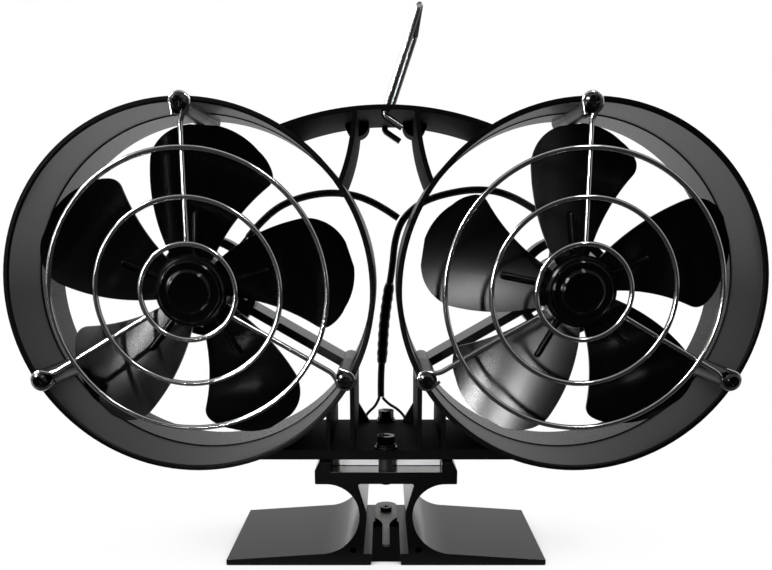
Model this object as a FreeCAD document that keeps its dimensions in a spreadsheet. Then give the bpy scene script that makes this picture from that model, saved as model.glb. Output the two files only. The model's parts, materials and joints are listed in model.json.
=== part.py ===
import FreeCAD, Part
import Sketcher
import math
import os

# A twin-rotor stove fan: a heated base, a thermoelectric module, a cast frame with two fans and a wire bail.
# Millimetres, +Z up, the front of the fan faces -Y and the base rests on Z = 0.

doc = FreeCAD.newDocument("stove_fan")
V = FreeCAD.Vector

SIDES = (("left", -1), ("right", 1))
BOSS_ANGLES = (90, 210, 330)
BLADE_COUNT = 5

# Driving dimensions: alias, value, meaning
SIZES = (
    ("base_half_width", 64.2, "foot tip from the middle"),
    ("base_front_overhang", 2.5, "base before the frame"),
    ("base_rear_overhang", 4.1, "base behind the frame"),
    ("foot_tip_height", 2.0, "thickness of a foot at its tip"),
    ("foot_root_height", 4.5, "height of a foot where its curve starts"),
    ("groove_half_width", 6.05, "half width of the groove under the base"),
    ("groove_height", 1.7, "depth of the groove under the base"),
    ("waist_half_width", 10.55, "outside of the legs at the waist"),
    ("waist_height", 20.8, "height of the waist"),
    ("shoulder_run", 1.7, "heater block beyond the top of the lips, on each side"),
    ("block_bottom", 33.8, "underside of the heater block"),
    ("block_corner", 0.6, "lower corner radius of the heater block"),
    ("shoulder_drop", 3.5, "shoulder below the top of the lips"),
    ("tray_floor", 38.7, "face that the module sits on"),
    ("tray_clearance", 0.3, "between the module and the lips"),
    ("lip_width", 4.3, "top of a lip"),
    ("lip_gap", 0.4, "air gap between the lips and the frame"),
    ("channel_ceiling", 33.9, "top of the channel through the base"),
    ("channel_top_half", 11.0, "half width of the channel at its top"),
    ("channel_corner", 1.0, "corner radius at the channel's top"),
    ("leg_wall", 2.8, "wall of a leg at the waist"),
    ("waist_straight", 3.0, "straight stretch of the channel at the waist"),
    ("channel_floor", 4.6, "floor of the channel"),
    ("channel_floor_half", 9.0, "half width of the channel at its floor"),
    ("key_bore_radius", 1.4, "small bores along the legs"),
    ("key_bore_x", 13.1, "small bores from the middle"),
    ("key_bore_z", 6.2, "height of the small bores"),
    ("slot_half_width", 5.7, "slot in the channel's floor"),
    ("slot_land", 21.6, "channel's floor behind the slot"),
    ("slot_corner", 2.8, "corner radius at the slot's end"),
    ("strip_thickness", 1.0, "bimetal strip"),
    ("strip_half_width", 5.0, "wide end of the bimetal strip"),
    ("strip_screw_inset", 12.6, "screw of the bimetal strip before the base's rear"),
    ("strip_head_inset", 6.1, "centre of the strip's round end before the base's rear"),
    ("spacer_height", 1.0, "spacer under the bimetal strip"),
    ("spacer_radius", 3.6, "spacer under the bimetal strip"),
    ("tongue_hinge_inset", 23.1, "where the strip starts to bend, before the base's rear"),
    ("tongue_neck_run", 9.0, "taper of the tongue"),
    ("tongue_half_width", 1.6, "stem of the tongue"),
    ("tongue_length", 32.0, "tongue from its bending line to its tip"),
    ("tongue_gap", 0.3, "gap between the strip's two halves"),
    ("strip_screw_radius", 1.45, "shank of the strip's screw"),
    ("strip_screw_head", 2.6, "head radius of the strip's screw"),
    ("strip_screw_head_height", 1.6, "head height of the strip's screw"),
    ("pad_thickness", 0.25, "graphite pad on each side of the module"),
    ("module_width", 40.0, "thermoelectric module, front to rear"),
    ("module_span", 43.4, "thermoelectric module across the tray"),
    ("ceramic_thickness", 0.8, "ceramic plate of the module"),
    ("core_height", 2.4, "semiconductor legs of the module"),
    ("seal_width", 1.2, "silicone seal round the module's legs"),
    ("ring_outer_radius", 70.0, "outside of a fan ring"),
    ("ring_wall", 2.0, "wall of a fan ring"),
    ("ring_ledge", 0.4, "ledge inside a fan ring"),
    ("ring_band", 24.0, "fan ring behind its ledge"),
    ("ring_bevel", 0.6, "bevel inside a fan ring's front edge"),
    ("ring_half_gap", 4.1, "ring from the middle"),
    ("ring_dip", 4.4, "lowest point of a ring below the foot plate"),
    ("plate_thickness", 3.8, "foot plate of the frame"),
    ("plate_margin", 3.5, "frame beyond the clamp screws, front and rear"),
    ("rib_x", 22.6, "rib from the middle"),
    ("rib_thickness", 1.6, "rib between plate and ring"),
    ("post_offset", 2.5, "post from its boss towards the middle"),
    ("post_thickness", 1.8, "post between plate and boss"),
    ("gusset_width", 5.8, "gusset beside a post"),
    ("gusset_height", 10.0, "gusset beside a post"),
    ("gusset_thickness", 3.0, "gusset beside a post"),
    ("gusset_inset", 2.0, "gusset from the frame's rear"),
    ("arch_drop", 3.0, "top of the arch below the tops of the rings"),
    ("arch_radius", 112.0, "outside of the arch"),
    ("arch_thickness", 1.7, "wall of the arch"),
    ("strut_top_x", 11.4, "strut at the arch, from the middle"),
    ("strut_radius", 68.6, "bend of a strut"),
    ("strut_thickness", 1.8, "wall of a strut"),
    ("arch_boss_radius", 4.8, "boss under the arch"),
    ("arch_boss_x", 11.6, "boss under the arch, from the middle"),
    ("arch_boss_drop", 2.8, "boss centre below the arch's top"),
    ("arch_boss_inset", 6.0, "boss under the arch from the frame's rear"),
    ("arch_boss_length", 15.0, "boss under the arch"),
    ("boss_inset", 2.5, "screw bosses inside the ring's outer radius"),
    ("boss_radius", 4.0, "screw boss"),
    ("boss_bore_depth", 13.0, "tapped bore of a screw boss"),
    ("arm_width", 3.4, "spider arm"),
    ("arm_inset", 2.0, "spider from the frame's rear"),
    ("arm_depth", 20.0, "depth of a spider arm"),
    ("holder_outer_radius", 20.7, "motor holder"),
    ("holder_wall", 3.5, "motor holder"),
    ("holder_depth", 9.0, "motor holder"),
    ("grip_width", 6.0, "pad of the holder that grips the motor"),
    ("can_clearance", 0.05, "between the grip pads and the motor"),
    ("sleeve_radius", 3.0, "insulating sleeve of a clamp screw"),
    ("sleeve_clearance", 0.1, "sleeve in its holes"),
    ("module_gap", 0.5, "between the module and the clamp sleeves"),
    ("clamp_radius", 2.0, "clamp screw"),
    ("clamp_clearance", 0.08, "clamp screw in its holes"),
    ("clamp_head_radius", 3.5, "clamp screw head"),
    ("clamp_head_height", 3.4, "clamp screw head"),
    ("clamp_socket", 1.7, "corner radius of the clamp screw's socket"),
    ("clamp_socket_depth", 2.0, "clamp screw's socket"),
    ("clamp_tip", 1.6, "clamp screw below the channel's ceiling"),
    ("flat_washer_radius", 4.5, "flat washer"),
    ("flat_washer_thickness", 0.8, "flat washer"),
    ("spring_washer_radius", 3.8, "spring washer"),
    ("spring_washer_thickness", 1.0, "spring washer"),
    ("guard_wire", 2.0, "guard wire diameter"),
    ("guard_outer", 52.0, "outer guard ring"),
    ("guard_middle", 34.6, "middle guard ring"),
    ("guard_inner", 17.85, "inner guard ring"),
    ("guard_eye", 3.2, "eye of a guard spoke"),
    ("guard_bend", 7.0, "bend beside the eye"),
    ("guard_tail", 3.6, "straight end of a spoke's wire past its eye"),
    ("guard_weld", 0.3, "rings sunk into the spokes at the welds"),
    ("guard_screw_radius", 1.45, "guard screw"),
    ("guard_screw_clearance", 0.06, "guard screw in its bore"),
    ("guard_screw_length", 12.0, "guard screw below its head"),
    ("guard_head_radius", 3.0, "guard screw head"),
    ("guard_head_height", 2.1, "guard screw head"),
    ("recess_width", 0.8, "cross recess of a screw"),
    ("recess_length", 3.0, "cross recess of a screw"),
    ("recess_depth", 1.1, "cross recess of a screw"),
    ("can_radius", 12.2, "motor can"),
    ("can_wall", 0.8, "motor can"),
    ("can_length", 26.0, "motor can"),
    ("motor_setback", 15.5, "front of the motor behind the frame's front"),
    ("end_cap_length", 4.8, "motor end cap"),
    ("end_cap_floor", 1.5, "rear wall of the end cap"),
    ("terminal_x", 6.0, "motor terminal from the axis"),
    ("terminal_length", 3.6, "motor terminal"),
    ("terminal_width", 2.2, "motor terminal"),
    ("terminal_thickness", 0.5, "motor terminal"),
    ("bush_radius", 3.0, "front bush of a motor"),
    ("bush_length", 4.0, "front bush of a motor"),
    ("bush_reach", 1.2, "front bush before the can"),
    ("shaft_radius", 1.0, "motor shaft"),
    ("shaft_clearance", 0.05, "shaft in its bushes"),
    ("magnet_thickness", 2.2, "motor magnet"),
    ("magnet_length", 17.0, "motor magnet"),
    ("magnet_offset", 4.0, "magnet behind the can's front"),
    ("magnet_gap", 5.0, "gap between the two magnets"),
    ("air_gap", 0.35, "between armature and magnets"),
    ("armature_length", 13.0, "motor armature"),
    ("commutator_radius", 4.0, "motor commutator"),
    ("commutator_length", 4.0, "motor commutator"),
    ("hub_radius", 13.0, "impeller hub at its front"),
    ("hub_edge", 0.8, "bevel at the front of the hub"),
    ("hub_step", 0.7, "hub wider behind its front"),
    ("hub_step_depth", 2.6, "front of the hub before its step"),
    ("hub_wall", 1.6, "impeller hub"),
    ("hub_length", 14.0, "impeller hub"),
    ("hub_gap", 1.6, "between the hub and the motor"),
    ("hub_boss_radius", 5.2, "hub boss round the insert"),
    ("hub_boss_length", 10.0, "hub boss round the insert"),
    ("insert_radius", 3.0, "brass insert of a hub"),
    ("insert_length", 9.0, "brass insert of a hub"),
    ("cap_radius", 11.6, "hub cap"),
    ("cap_flange", 1.4, "hub cap"),
    ("cap_edge", 0.4, "bevels of a hub cap"),
    ("cap_button_radius", 8.0, "raised middle of a hub cap"),
    ("cap_button_height", 1.2, "raised middle of a hub cap"),
    ("blade_gap", 2.1, "between the blade tips and the screw bosses"),
    ("blade_pitch", 20.2, "degrees between a blade and the plane of rotation"),
    ("blade_camber", 99.0, "bend of a blade"),
    ("blade_thickness", 1.2, "blade"),
    ("blade_plane", 9.7, "blade at its line behind the hub's front"),
    ("blade_middle", 5.5, "middle of a blade beside its line"),
    ("root_rib_radius", 1.3, "rib on a blade's root"),
    ("root_rib_end", 29.0, "end of the rib on a blade's root"),
    ("root_rib_turn", 2.4, "degrees, rib clockwise of the blade's line"),
    ("left_turn", 17.4, "degrees, line of a left blade above the horizontal"),
    ("right_turn", 27.0, "degrees, line of a right blade above the horizontal"),
    ("bail_wire", 2.5, "bail wire diameter"),
    ("bail_height", 36.8, "bail above its pivot"),
    ("bail_inset", 3.0, "bail legs inside the frame's front and rear"),
    ("bail_corner", 1.9, "upper bends of the bail"),
    ("bail_lean", 19.0, "degrees, bail from the vertical at rest"),
    ("bail_drop", 1.2, "bail leg below its pivot"),
    ("bail_hook_bend", 1.8, "bend of a bail hook"),
    ("bail_hook_fall", 14.0, "degrees, hook from square to the leg"),
    ("bail_hook_length", 6.6, "straight end of a bail hook"),
    ("bail_hole_radius", 1.95, "holes for the bail in the arch"),
    ("lead_diameter", 3.1, "sleeved motor lead"),
    ("lead_sleeve_radius", 2.45, "joint sleeve on the trunk"),
    ("lead_sleeve_bore", 1.62, "bore of the joint sleeve"),
    ("tail_diameter", 1.3, "module lead"),
    ("motor_wire_diameter", 1.1, "motor wire"),
)

sheet = doc.addObject("Spreadsheet::Sheet", "Sizes")
for row, (alias, amount, meaning) in enumerate(SIZES, start=1):
    sheet.set("A%d" % row, meaning)
    sheet.set("B%d" % row, str(amount))
    sheet.setAlias("B%d" % row, alias)
doc.recompute()

# Places that follow from the sizes
PLACES = (
    ("module_height", "2 * Sizes.pad_thickness + 2 * Sizes.ceramic_thickness + Sizes.core_height"),
    ("plate_bottom", "Sizes.tray_floor + module_height"),
    ("plate_top", "plate_bottom + Sizes.plate_thickness"),
    ("lip_top", "plate_bottom - Sizes.lip_gap"),
    ("tray_half_width", "Sizes.module_span / 2 + Sizes.tray_clearance"),
    ("lip_half_width", "tray_half_width + Sizes.lip_width"),
    ("block_half_width", "lip_half_width + Sizes.shoulder_run"),
    ("clamp_y", "Sizes.module_width / 2 + Sizes.module_gap + Sizes.sleeve_radius"),
    ("frame_rear", "clamp_y + Sizes.plate_margin"),
    ("frame_front", "-frame_rear"),
    ("ring_depth", "frame_rear - frame_front"),
    ("base_front", "frame_front - Sizes.base_front_overhang"),
    ("base_rear", "frame_rear + Sizes.base_rear_overhang"),
    ("base_depth", "base_rear - base_front"),
    ("slot_length", "base_depth - Sizes.slot_land"),
    ("strip_screw_y", "base_rear - Sizes.strip_screw_inset"),
    ("strip_head_y", "base_rear - Sizes.strip_head_inset"),
    ("tongue_hinge_y", "base_rear - Sizes.tongue_hinge_inset"),
    ("ring_centre_x", "Sizes.ring_outer_radius + Sizes.ring_half_gap"),
    ("ring_inner", "Sizes.ring_outer_radius - Sizes.ring_wall"),
    ("ring_mid", "Sizes.ring_outer_radius - Sizes.ring_wall / 2"),
    ("axis_z", "plate_bottom + Sizes.ring_outer_radius - Sizes.ring_dip"),
    ("boss_circle", "Sizes.ring_outer_radius - Sizes.boss_inset"),
    ("plate_half", "ring_centre_x - sqrt(ring_mid ^ 2 - (axis_z - plate_bottom) ^ 2)"),
    ("post_x", "ring_centre_x - boss_circle * cos(30 deg) - Sizes.post_offset"),
    ("post_top", "axis_z - boss_circle * sin(30 deg)"),
    ("rib_top", "axis_z - sqrt(ring_mid ^ 2 - (ring_centre_x - Sizes.rib_x) ^ 2)"),
    ("blade_tip", "boss_circle - Sizes.boss_radius - Sizes.blade_gap"),
    ("arch_rise", "Sizes.ring_outer_radius - Sizes.arch_drop"),
    ("arch_top", "axis_z + arch_rise"),
    ("arch_boss_front", "frame_rear - Sizes.arch_boss_inset - Sizes.arch_boss_length"),
    ("arm_front", "frame_rear - Sizes.arm_inset - Sizes.arm_depth"),
    ("arch_centre_z", "arch_top - Sizes.arch_radius"),
    ("holder_mid", "Sizes.holder_outer_radius - Sizes.holder_wall / 2"),
    ("strip_bottom", "Sizes.channel_floor + Sizes.spacer_height"),
    ("strip_top", "strip_bottom + Sizes.strip_thickness"),
    ("guard_y", "frame_front - Sizes.guard_wire / 2"),
    ("can_front_y", "frame_front + Sizes.motor_setback"),
    ("can_rear_y", "can_front_y + Sizes.can_length"),
    ("motor_rear_y", "can_rear_y + Sizes.end_cap_length"),
    ("hub_rear_y", "can_front_y - Sizes.hub_gap"),
    ("hub_front_y", "hub_rear_y - Sizes.hub_length"),
    ("washer_top", "plate_top + Sizes.flat_washer_thickness + Sizes.spring_washer_thickness"),
    ("clamp_bottom", "Sizes.channel_ceiling - Sizes.clamp_tip"),
    ("magnet_outer", "Sizes.can_radius - Sizes.can_wall"),
    ("magnet_inner", "magnet_outer - Sizes.magnet_thickness"),
    ("armature_radius", "magnet_inner - Sizes.air_gap"),
    ("bail_leg_y", "frame_rear - Sizes.bail_inset"),
    ("bail_pivot_z", "arch_top - Sizes.arch_thickness / 2"),
)
places = doc.addObject("App::VarSet", "Places")
for name, formula in PLACES:
    places.addProperty("App::PropertyFloat", name, "Places")
    places.setExpression(name, formula)
doc.recompute()


def size(alias):
    return float(sheet.get(alias))


def place(name):
    return getattr(places, name)


# Building helpers

TURN_TO = {
    "z": FreeCAD.Rotation(),
    "y": FreeCAD.Rotation(V(1, 0, 0), -90),
}
nodes = []


def put(obj, x, y, z):
    """Ties an object's position to three formulas."""
    for axis, formula in zip("xyz", (x, y, z)):
        obj.setExpression("Placement.Base." + axis, formula)
    return obj


def box(name, x, y, z, length, width, height):
    obj = doc.addObject("Part::Box", name)
    obj.setExpression("Length", length)
    obj.setExpression("Width", width)
    obj.setExpression("Height", height)
    return put(obj, x, y, z)


def rod(name, radius, length, x, y, z, along="y"):
    obj = doc.addObject("Part::Cylinder", name)
    obj.Placement = FreeCAD.Placement(V(), TURN_TO[along])
    obj.setExpression("Radius", radius)
    obj.setExpression("Height", length)
    return put(obj, x, y, z)


def spoke_box(name, x, y, z, angle, start, length, depth, width):
    """A box that points away from an axis along Y, at an angle above +X."""
    obj = doc.addObject("Part::Box", name)
    obj.Placement = FreeCAD.Placement(V(), FreeCAD.Rotation(V(0, 1, 0), -angle))
    obj.setExpression("Length", length)
    obj.setExpression("Width", depth)
    obj.setExpression("Height", width)
    out_x = "(%s) * cos(%d deg) + (%s) / 2 * sin(%d deg)" % (start, angle, width, angle)
    out_z = "(%s) * sin(%d deg) - (%s) / 2 * cos(%d deg)" % (start, angle, width, angle)
    return put(obj, "%s + %s" % (x, out_x), y, "%s + %s" % (z, out_z))


def fuse(name, shapes):
    obj = doc.addObject("Part::MultiFuse", name)
    obj.Shapes = shapes
    obj.Refine = True
    return obj


def common(name, shapes):
    obj = doc.addObject("Part::MultiCommon", name)
    obj.Shapes = shapes
    return obj


def group(name, shapes):
    obj = doc.addObject("Part::Compound", name)
    obj.Links = shapes
    return obj


def cut(name, base, tools):
    obj = doc.addObject("Part::Cut", name)
    obj.Base = base
    obj.Tool = tools[0] if len(tools) == 1 else group(name + "_tools", tools)
    return obj


def shaped(name, shape):
    """An object whose shape is made by code from the sheet's sizes."""
    obj = doc.addObject("Part::Feature", name)
    obj.Shape = shape
    return obj


def node(label, obj):
    """Names an object as a sub-part of the fan."""
    obj.Label = label
    nodes.append(obj)
    return obj


def turned(name, corners, x, y, z, along="y"):
    """A body turned on its own Y axis, from the radius and height formulas of its half section."""
    body = doc.addObject("PartDesign::Body", name)
    sketch = body.newObject("Sketcher::SketchObject", name + "_section")
    sketch.AttachmentSupport = [(next(f for f in body.Origin.OriginFeatures if f.Role == "XY_Plane"), "")]
    sketch.MapMode = "FlatFace"
    count = len(corners)
    start = [V(1 + index, 1 + 2 * index, 0) for index in range(count)]
    for index in range(count):
        sketch.addGeometry(Part.LineSegment(start[index], start[(index + 1) % count]), False)
    for index in range(count):
        sketch.addConstraint(Sketcher.Constraint("Coincident", index, 2, (index + 1) % count, 1))
    for index, (radius, height) in enumerate(corners):
        for kind, formula, axis in (("DistanceX", radius, -2), ("DistanceY", height, -1)):
            if formula == "0":
                sketch.addConstraint(Sketcher.Constraint("PointOnObject", index, 1, axis))
            else:
                row = sketch.addConstraint(Sketcher.Constraint(kind, -1, 1, index, 1, 1.0 + index))
                sketch.setExpression("Constraints[%d]" % row, formula)
    doc.recompute()
    turn = body.newObject("PartDesign::Revolution", name + "_turn")
    turn.Profile = sketch
    turn.ReferenceAxis = (sketch, ["V_Axis"])
    turn.Angle = 360
    if along == "z":
        body.Placement = FreeCAD.Placement(V(), FreeCAD.Rotation(V(1, 0, 0), 90))
    return put(body, x, y, z)


def ring_corners(inner, outer, length):
    return [(inner, "0"), (outer, "0"), (outer, length), (inner, length)]


def arc(start, middle, end):
    return Part.Arc(start, middle, end).toShape()


def line(start, end):
    return Part.LineSegment(start, end).toShape()


def along_circle(centre, radius, degrees, y=0.0):
    """A point of a circle in the XZ plane."""
    turn = math.radians(degrees)
    return V(centre.x + radius * math.cos(turn), y, centre.z + radius * math.sin(turn))


def tube(edges, radius, bore=0.0):
    """A round bar, or a pipe if it has a bore, along joined edges."""
    path = Part.Wire(edges)
    first = path.OrderedEdges[0]
    start = first.valueAt(first.FirstParameter)
    heading = first.tangentAt(first.FirstParameter)
    if first.Orientation == "Reversed":
        start = first.valueAt(first.LastParameter)
        heading = first.tangentAt(first.LastParameter) * -1
    solids = []
    for amount in (radius, bore):
        if amount > 0:
            section = Part.Wire([Part.makeCircle(amount, start, heading)])
            solids.append(path.makePipeShell([section], True, False))
    return solids[0] if len(solids) == 1 else solids[0].cut(solids[1])


def cord_edges(points, name):
    """Straight runs joined by arcs as large as the runs allow."""
    corners = []
    for before, corner, after in zip(points, points[1:], points[2:]):
        back = (before - corner).normalize()
        ahead = (after - corner).normalize()
        half_turn = (math.pi - back.getAngle(ahead)) / 2
        reach = 0.45 * min((before - corner).Length, (after - corner).Length)
        radius = reach / math.tan(half_turn)
        middle = corner + (back + ahead).normalize() * (radius / math.cos(half_turn) - radius)
        corners.append((corner + back * reach, middle, corner + ahead * reach, radius))
    print(name, "bend radii", [round(entry[3], 1) for entry in corners])
    edges = []
    last = points[0]
    for start, middle, end, radius in corners:
        edges.append(line(last, start))
        edges.append(arc(start, middle, end))
        last = end
    edges.append(line(last, points[-1]))
    return edges


# Base extrusion with its channel, slot and bores

def base_half_outline(side):
    """Right or left half of the base's outline, from the groove to the tray."""
    waist = size("waist_height")
    out = size("waist_half_width")
    low = waist - size("foot_root_height")
    high = size("block_bottom") - waist
    corner = size("block_corner")
    half = place("block_half_width")
    bottom = size("block_bottom")
    top = place("lip_top")

    def at(x, z):
        return V(side * x, 0, z)

    def on_arc(radius, degrees):
        turn = math.radians(degrees)
        return at(out + radius - radius * math.cos(turn), waist + radius * math.sin(turn))

    return [
        line(at(0, size("groove_height")), at(size("groove_half_width"), size("groove_height"))),
        line(at(size("groove_half_width"), size("groove_height")), at(size("groove_half_width"), 0)),
        line(at(size("groove_half_width"), 0), at(size("base_half_width"), 0)),
        line(at(size("base_half_width"), 0), at(size("base_half_width"), size("foot_tip_height"))),
        line(at(size("base_half_width"), size("foot_tip_height")), on_arc(low, -90)),
        arc(on_arc(low, -90), on_arc(low, -45), on_arc(low, 0)),
        arc(on_arc(high, 0), on_arc(high, 45), on_arc(high, 90)),
        line(on_arc(high, 90), at(half - corner, bottom)),
        arc(at(half - corner, bottom),
            at(half - corner + corner * math.sin(math.pi / 4), bottom + corner * (1 - math.cos(math.pi / 4))),
            at(half, bottom + corner)),
        line(at(half, bottom + corner), at(half, top - size("shoulder_drop"))),
        line(at(half, top - size("shoulder_drop")), at(place("lip_half_width"), top)),
        line(at(place("lip_half_width"), top), at(place("tray_half_width"), top)),
        line(at(place("tray_half_width"), top), at(place("tray_half_width"), size("tray_floor"))),
        line(at(place("tray_half_width"), size("tray_floor")), at(0, size("tray_floor"))),
    ]


def channel_half_outline(side):
    """Right or left half of the channel through the base."""
    top = size("channel_ceiling")
    half = size("channel_top_half")
    corner = size("channel_corner")
    waist = size("waist_half_width") - size("leg_wall")
    upper = size("waist_height") + size("waist_straight") / 2
    lower = size("waist_height") - size("waist_straight") / 2
    floor = size("channel_floor")

    def at(x, z):
        return V(side * x, 0, z)

    return [
        line(at(0, top), at(half - corner, top)),
        arc(at(half - corner, top), at(half - 0.2 * corner, top - 0.4 * corner),
            at(half - 0.1 * corner, top - corner)),
        line(at(half - 0.1 * corner, top - corner), at(waist, upper)),
        line(at(waist, upper), at(waist, lower)),
        line(at(waist, lower), at(size("channel_floor_half"), floor)),
        line(at(size("channel_floor_half"), floor), at(0, floor)),
    ]


def mirrored_face(half_outline):
    edges = half_outline(1) + half_outline(-1)
    return Part.Face(Part.Wire(Part.__sortEdges__(edges)))


base_face = shaped("base_outline", mirrored_face(base_half_outline))
channel_face = shaped("channel_outline", mirrored_face(channel_half_outline))
base_bars = []
for name, face in (("base_bar", base_face), ("channel_bar", channel_face)):
    bar = doc.addObject("Part::Extrusion", name)
    bar.Base = face
    bar.DirMode = "Custom"
    bar.Dir = V(0, 1, 0)
    bar.Solid = True
    bar.setExpression("LengthFwd", "Places.base_depth")
    put(bar, "0", "Places.base_front", "0")
    base_bars.append(bar)

SLOT_CUT = "(Sizes.channel_floor + Places.strip_bottom) / 2 - Sizes.groove_height / 2"
slot_bar = box("slot_bar", "-Sizes.slot_half_width", "Places.base_front", "Sizes.groove_height / 2",
               "2 * Sizes.slot_half_width", "Places.slot_length - Sizes.slot_corner", SLOT_CUT)
slot_end = box("slot_end", "Sizes.slot_corner - Sizes.slot_half_width", "Places.base_front",
               "Sizes.groove_height / 2", "2 * (Sizes.slot_half_width - Sizes.slot_corner)",
               "Places.slot_length", SLOT_CUT)
slot_rounds = [
    rod("slot_round_" + side, "Sizes.slot_corner", SLOT_CUT,
        "%d * (Sizes.slot_half_width - Sizes.slot_corner)" % sign,
        "Places.base_front + Places.slot_length - Sizes.slot_corner", "Sizes.groove_height / 2", "z")
    for side, sign in SIDES
]
slot = fuse("slot", [slot_bar, slot_end] + slot_rounds)
key_bores = [
    rod("key_bore_" + side, "Sizes.key_bore_radius", "Places.base_depth", "%d * Sizes.key_bore_x" % sign,
        "Places.base_front", "Sizes.key_bore_z")
    for side, sign in SIDES
]
clamp_taps = [
    rod("clamp_tap_%d" % number, "Sizes.clamp_radius + Sizes.clamp_clearance",
        "Sizes.tray_floor - Places.clamp_bottom", "0", "%d * Places.clamp_y" % sign,
        "Places.clamp_bottom", "z")
    for number, sign in ((1, -1), (2, 1))
]
strip_tap = rod("strip_tap", "Sizes.strip_screw_radius + Sizes.clamp_clearance",
                "Sizes.channel_floor - Sizes.groove_height / 2", "0", "Places.strip_screw_y",
                "Sizes.groove_height / 2", "z")
node("base_extrusion", cut("base_cut", base_bars[0], [base_bars[1], slot, strip_tap] + key_bores + clamp_taps))

# Bimetal safety strip: a fixed root under a screw, and the tongue that bends down when it is hot

STRIP_BORE = "Sizes.strip_screw_radius + Sizes.clamp_clearance"
node("bimetal_spacer", turned(
    "spacer_body", ring_corners(STRIP_BORE, "Sizes.spacer_radius", "Sizes.spacer_height"),
    "0", "Places.strip_screw_y", "Sizes.channel_floor", "z"))
root_round = rod("root_round", "Sizes.strip_half_width", "Sizes.strip_thickness", "0", "Places.strip_head_y",
                 "Places.strip_bottom", "z")
root_flat = box("root_flat", "-Sizes.strip_half_width", "Places.tongue_hinge_y", "Places.strip_bottom",
                "2 * Sizes.strip_half_width", "Places.strip_head_y - Places.tongue_hinge_y",
                "Sizes.strip_thickness")
root_hole = rod("root_hole", STRIP_BORE, "Sizes.strip_thickness", "0", "Places.strip_screw_y",
                "Places.strip_bottom", "z")
node("bimetal_root", cut("root_cut", fuse("root_sheet", [root_round, root_flat]), [root_hole]))


def tongue_shape():
    """The spade-shaped tongue, lying flat with its bending line at Y = 0."""
    wide = size("strip_half_width")
    stem = size("tongue_half_width")
    neck = -size("tongue_neck_run")
    tip = -size("tongue_length")
    corners = [V(-wide, 0, 0), V(-stem, neck, 0), V(-stem, tip, 0),
               V(stem, tip, 0), V(stem, neck, 0), V(wide, 0, 0)]
    face = Part.Face(Part.makePolygon(corners + corners[:1]))
    return face.extrude(V(0, 0, size("strip_thickness")))


tongue = shaped("tongue_sheet", tongue_shape())
put(tongue, "0", "Places.tongue_hinge_y - Sizes.tongue_gap", "Places.strip_bottom")
node("bimetal_tongue", tongue)


def cross_recess(name, x, y, z, along):
    """Two bars that cut a cross recess into a screw head, whose top is at the given place."""
    bars = []
    for number in (1, 2):
        long_way = "Sizes.recess_length"
        short_way = "Sizes.recess_width"
        across = long_way if number == 1 else short_way
        upright = short_way if number == 1 else long_way
        bar_name = "%s_bar_%d" % (name, number)
        if along == "y":
            bars.append(box(bar_name, "%s - %s / 2" % (x, across), y, "%s - %s / 2" % (z, upright),
                            across, "Sizes.recess_depth", upright))
        else:
            bars.append(box(bar_name, "%s - %s / 2" % (x, across), "%s - %s / 2" % (y, upright),
                            "%s - Sizes.recess_depth" % z, across, upright, "Sizes.recess_depth"))
    return fuse(name, bars)


strip_screw_body = turned(
    "strip_screw_body",
    [("0", "0"), ("Sizes.strip_screw_radius", "0"),
     ("Sizes.strip_screw_radius", "Places.strip_top - Sizes.groove_height"),
     ("Sizes.strip_screw_head", "Places.strip_top - Sizes.groove_height"),
     ("Sizes.strip_screw_head", "Places.strip_top - Sizes.groove_height + Sizes.strip_screw_head_height"),
     ("0", "Places.strip_top - Sizes.groove_height + Sizes.strip_screw_head_height")],
    "0", "Places.strip_screw_y", "Sizes.groove_height", "z")
node("bimetal_screw", cut("strip_screw_cut", strip_screw_body, [
    cross_recess("strip_screw_recess", "0", "Places.strip_screw_y",
                 "Places.strip_top + Sizes.strip_screw_head_height", "z")]))

# Thermoelectric module between two graphite pads

def flat_sheet(name, bottom, height, span, width):
    return box(name, "-(%s) / 2" % span, "-(%s) / 2" % width, bottom, span, width, height)


HOT_PLATE = "Sizes.tray_floor + Sizes.pad_thickness"
CORE = HOT_PLATE + " + Sizes.ceramic_thickness"
COLD_PLATE = CORE + " + Sizes.core_height"
WIDTH = "Sizes.module_width"
SPAN = "Sizes.module_span"
CORE_SIDES = (SPAN + " - 2 * Sizes.seal_width", WIDTH + " - 2 * Sizes.seal_width")
node("hot_side_pad", flat_sheet("hot_pad_sheet", "Sizes.tray_floor", "Sizes.pad_thickness", SPAN, WIDTH))
node("teg_hot_plate", flat_sheet("hot_plate_sheet", HOT_PLATE, "Sizes.ceramic_thickness", SPAN, WIDTH))
node("teg_core", flat_sheet("core_block", CORE, "Sizes.core_height", *CORE_SIDES))
seal_block = flat_sheet("seal_block", CORE, "Sizes.core_height", SPAN, WIDTH)
seal_space = flat_sheet("seal_space", CORE, "Sizes.core_height", *CORE_SIDES)
node("teg_seal", cut("seal_cut", seal_block, [seal_space]))
node("teg_cold_plate", flat_sheet("cold_plate_sheet", COLD_PLATE, "Sizes.ceramic_thickness", SPAN, WIDTH))
node("cold_side_pad", flat_sheet("cold_pad_sheet", "Places.plate_bottom - Sizes.pad_thickness",
                                   "Sizes.pad_thickness", SPAN, WIDTH))

# Frame: two rings with bosses, welded to a foot bracket below and to an arch with two struts above
# A spider that holds the motor is pressed between the three bosses of each ring

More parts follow.
